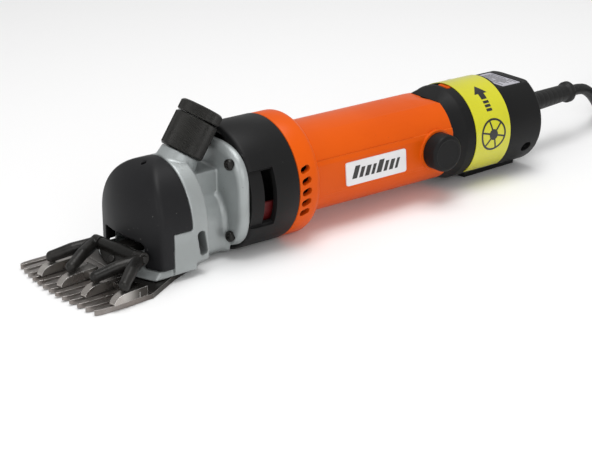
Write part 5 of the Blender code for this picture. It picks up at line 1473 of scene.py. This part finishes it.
def makeBadge():
    badge = {"front": -37.5, "length": 44.0, "height": 13.6, "thickness": 0.4, "face": 25.2, "lean": 0.9}
    low = -badge["height"] / 2 - 1.0
    high = badge["height"] / 2 - 1.0
    rear = badge["front"] - badge["length"]
    lean = badge["lean"]
    corners = [(rear, low), (badge["front"] - lean, low), (badge["front"], high), (rear + lean, high)]
    face = badge["face"]
    outline = roundedFour(corners, 1.6)
    plate = draft(extruded(outline, face - 0.28, face + badge["thickness"], "Y"), onHandle)
    piece("sideBadge", plate, "badgeWhite", stands=["side_badge"])
    # plain slanting bars of different widths
    marks = []
    widths = (3.4, 2.6, 3.0, 2.2, 3.6, 2.4, 2.8, 2.0)
    x = badge["front"] - 4.6
    base = low + 3.6
    top = high - 3.6
    for index, width in enumerate(widths):
        tall = top + (0.8 if index in (0, 4) else -0.6)
        slant = (tall - base) * 0.32
        marks.append([(x - width, base), (x, base), (x - slant, tall), (x - width - slant, tall)])
        x -= width + 1.5
    front = face + badge["thickness"]
    bars = gather([extruded(mark, front + 0.02, front + 0.07, "Y") for mark in marks])
    piece("badgeBars", draft(bars, onHandle), "printInk")


def makePlate():
    x = -housing["length"] - tail["length"] + 6.0
    top = tail["topZ"] - 0.1
    corners = [(x, -13), (x + 14.5, -13), (x + 14.5, 13), (x, 13)]
    plate = draft(extruded(roundedFour(corners, 0.9), top - 0.5, top), onHandle)
    piece("ratingPlate", plate, "plateFoil", stands=["rating_plate"])
    runs = [(1.4, -10.5, 2.0), (1.4, 4.0, 10.5), (3.4, -10.5, 9.0), (5.0, -10.5, 6.5), (6.6, -10.5, 10.0),
            (8.2, -10.5, -2.5), (8.2, 0.5, 8.5), (9.8, -10.5, 5.0), (11.8, -10.5, 10.5)]
    lines = gather([block((x + start, left, top + 0.02), (x + start + 0.55, right, top + 0.06))
                    for start, left, right in runs])
    piece("plateLines", draft(lines, onHandle), "printInk")


makeLabel()
makeBadge()
makePlate()
print("tail and labels")


# Cord guard

def makeGuard():
    guard = {"length": guardLength, "root": 6.3, "end": 5.2, "bead": 6.6, "bore": 3.7}
    low = gap + guard["root"] * sin(radians(guardYaw))
    bead = guard["length"] - 5
    profile = [(low, guard["bore"]), (guard["length"], guard["bore"]), (guard["length"], guard["bead"] - 1.4),
               (guard["length"] - 0.5, guard["bead"] - 0.5), (guard["length"] - 1.3, guard["bead"]),
               (bead + 1.3, guard["bead"]), (bead + 0.5, guard["bead"] - 0.4), (bead, guard["bead"] - 1.0),
               (bead - 0.5, guard["end"] + 0.05), (bead - 2.0, guard["end"])]
    for index in range(9, -1, -1):
        x = low + 3 + (bead - 6 - low) * index / 10
        radius = guard["root"] + (guard["end"] - guard["root"]) * (x - low) / (bead - low)
        profile += [(x + 0.5, radius), (x + 0.25, radius - 0.06), (x, radius)]
    profile.append((low, guard["root"]))
    piece("cordGuard", draft(turned(profile, 64, closed=True), onGuard), "rubberBlack", stands=["cord_guard"])


makeGuard()

# Inner parts and small parts keep their own shape
for name, item in nodes.items():
    for slot in item.material_slots:
        if slot.material and slot.material.name.split(".")[0] in lookOfSlot:
            slot.material = looks[lookOfSlot[slot.material.name.split(".")[0]]]
print("inner parts", len(nodes))
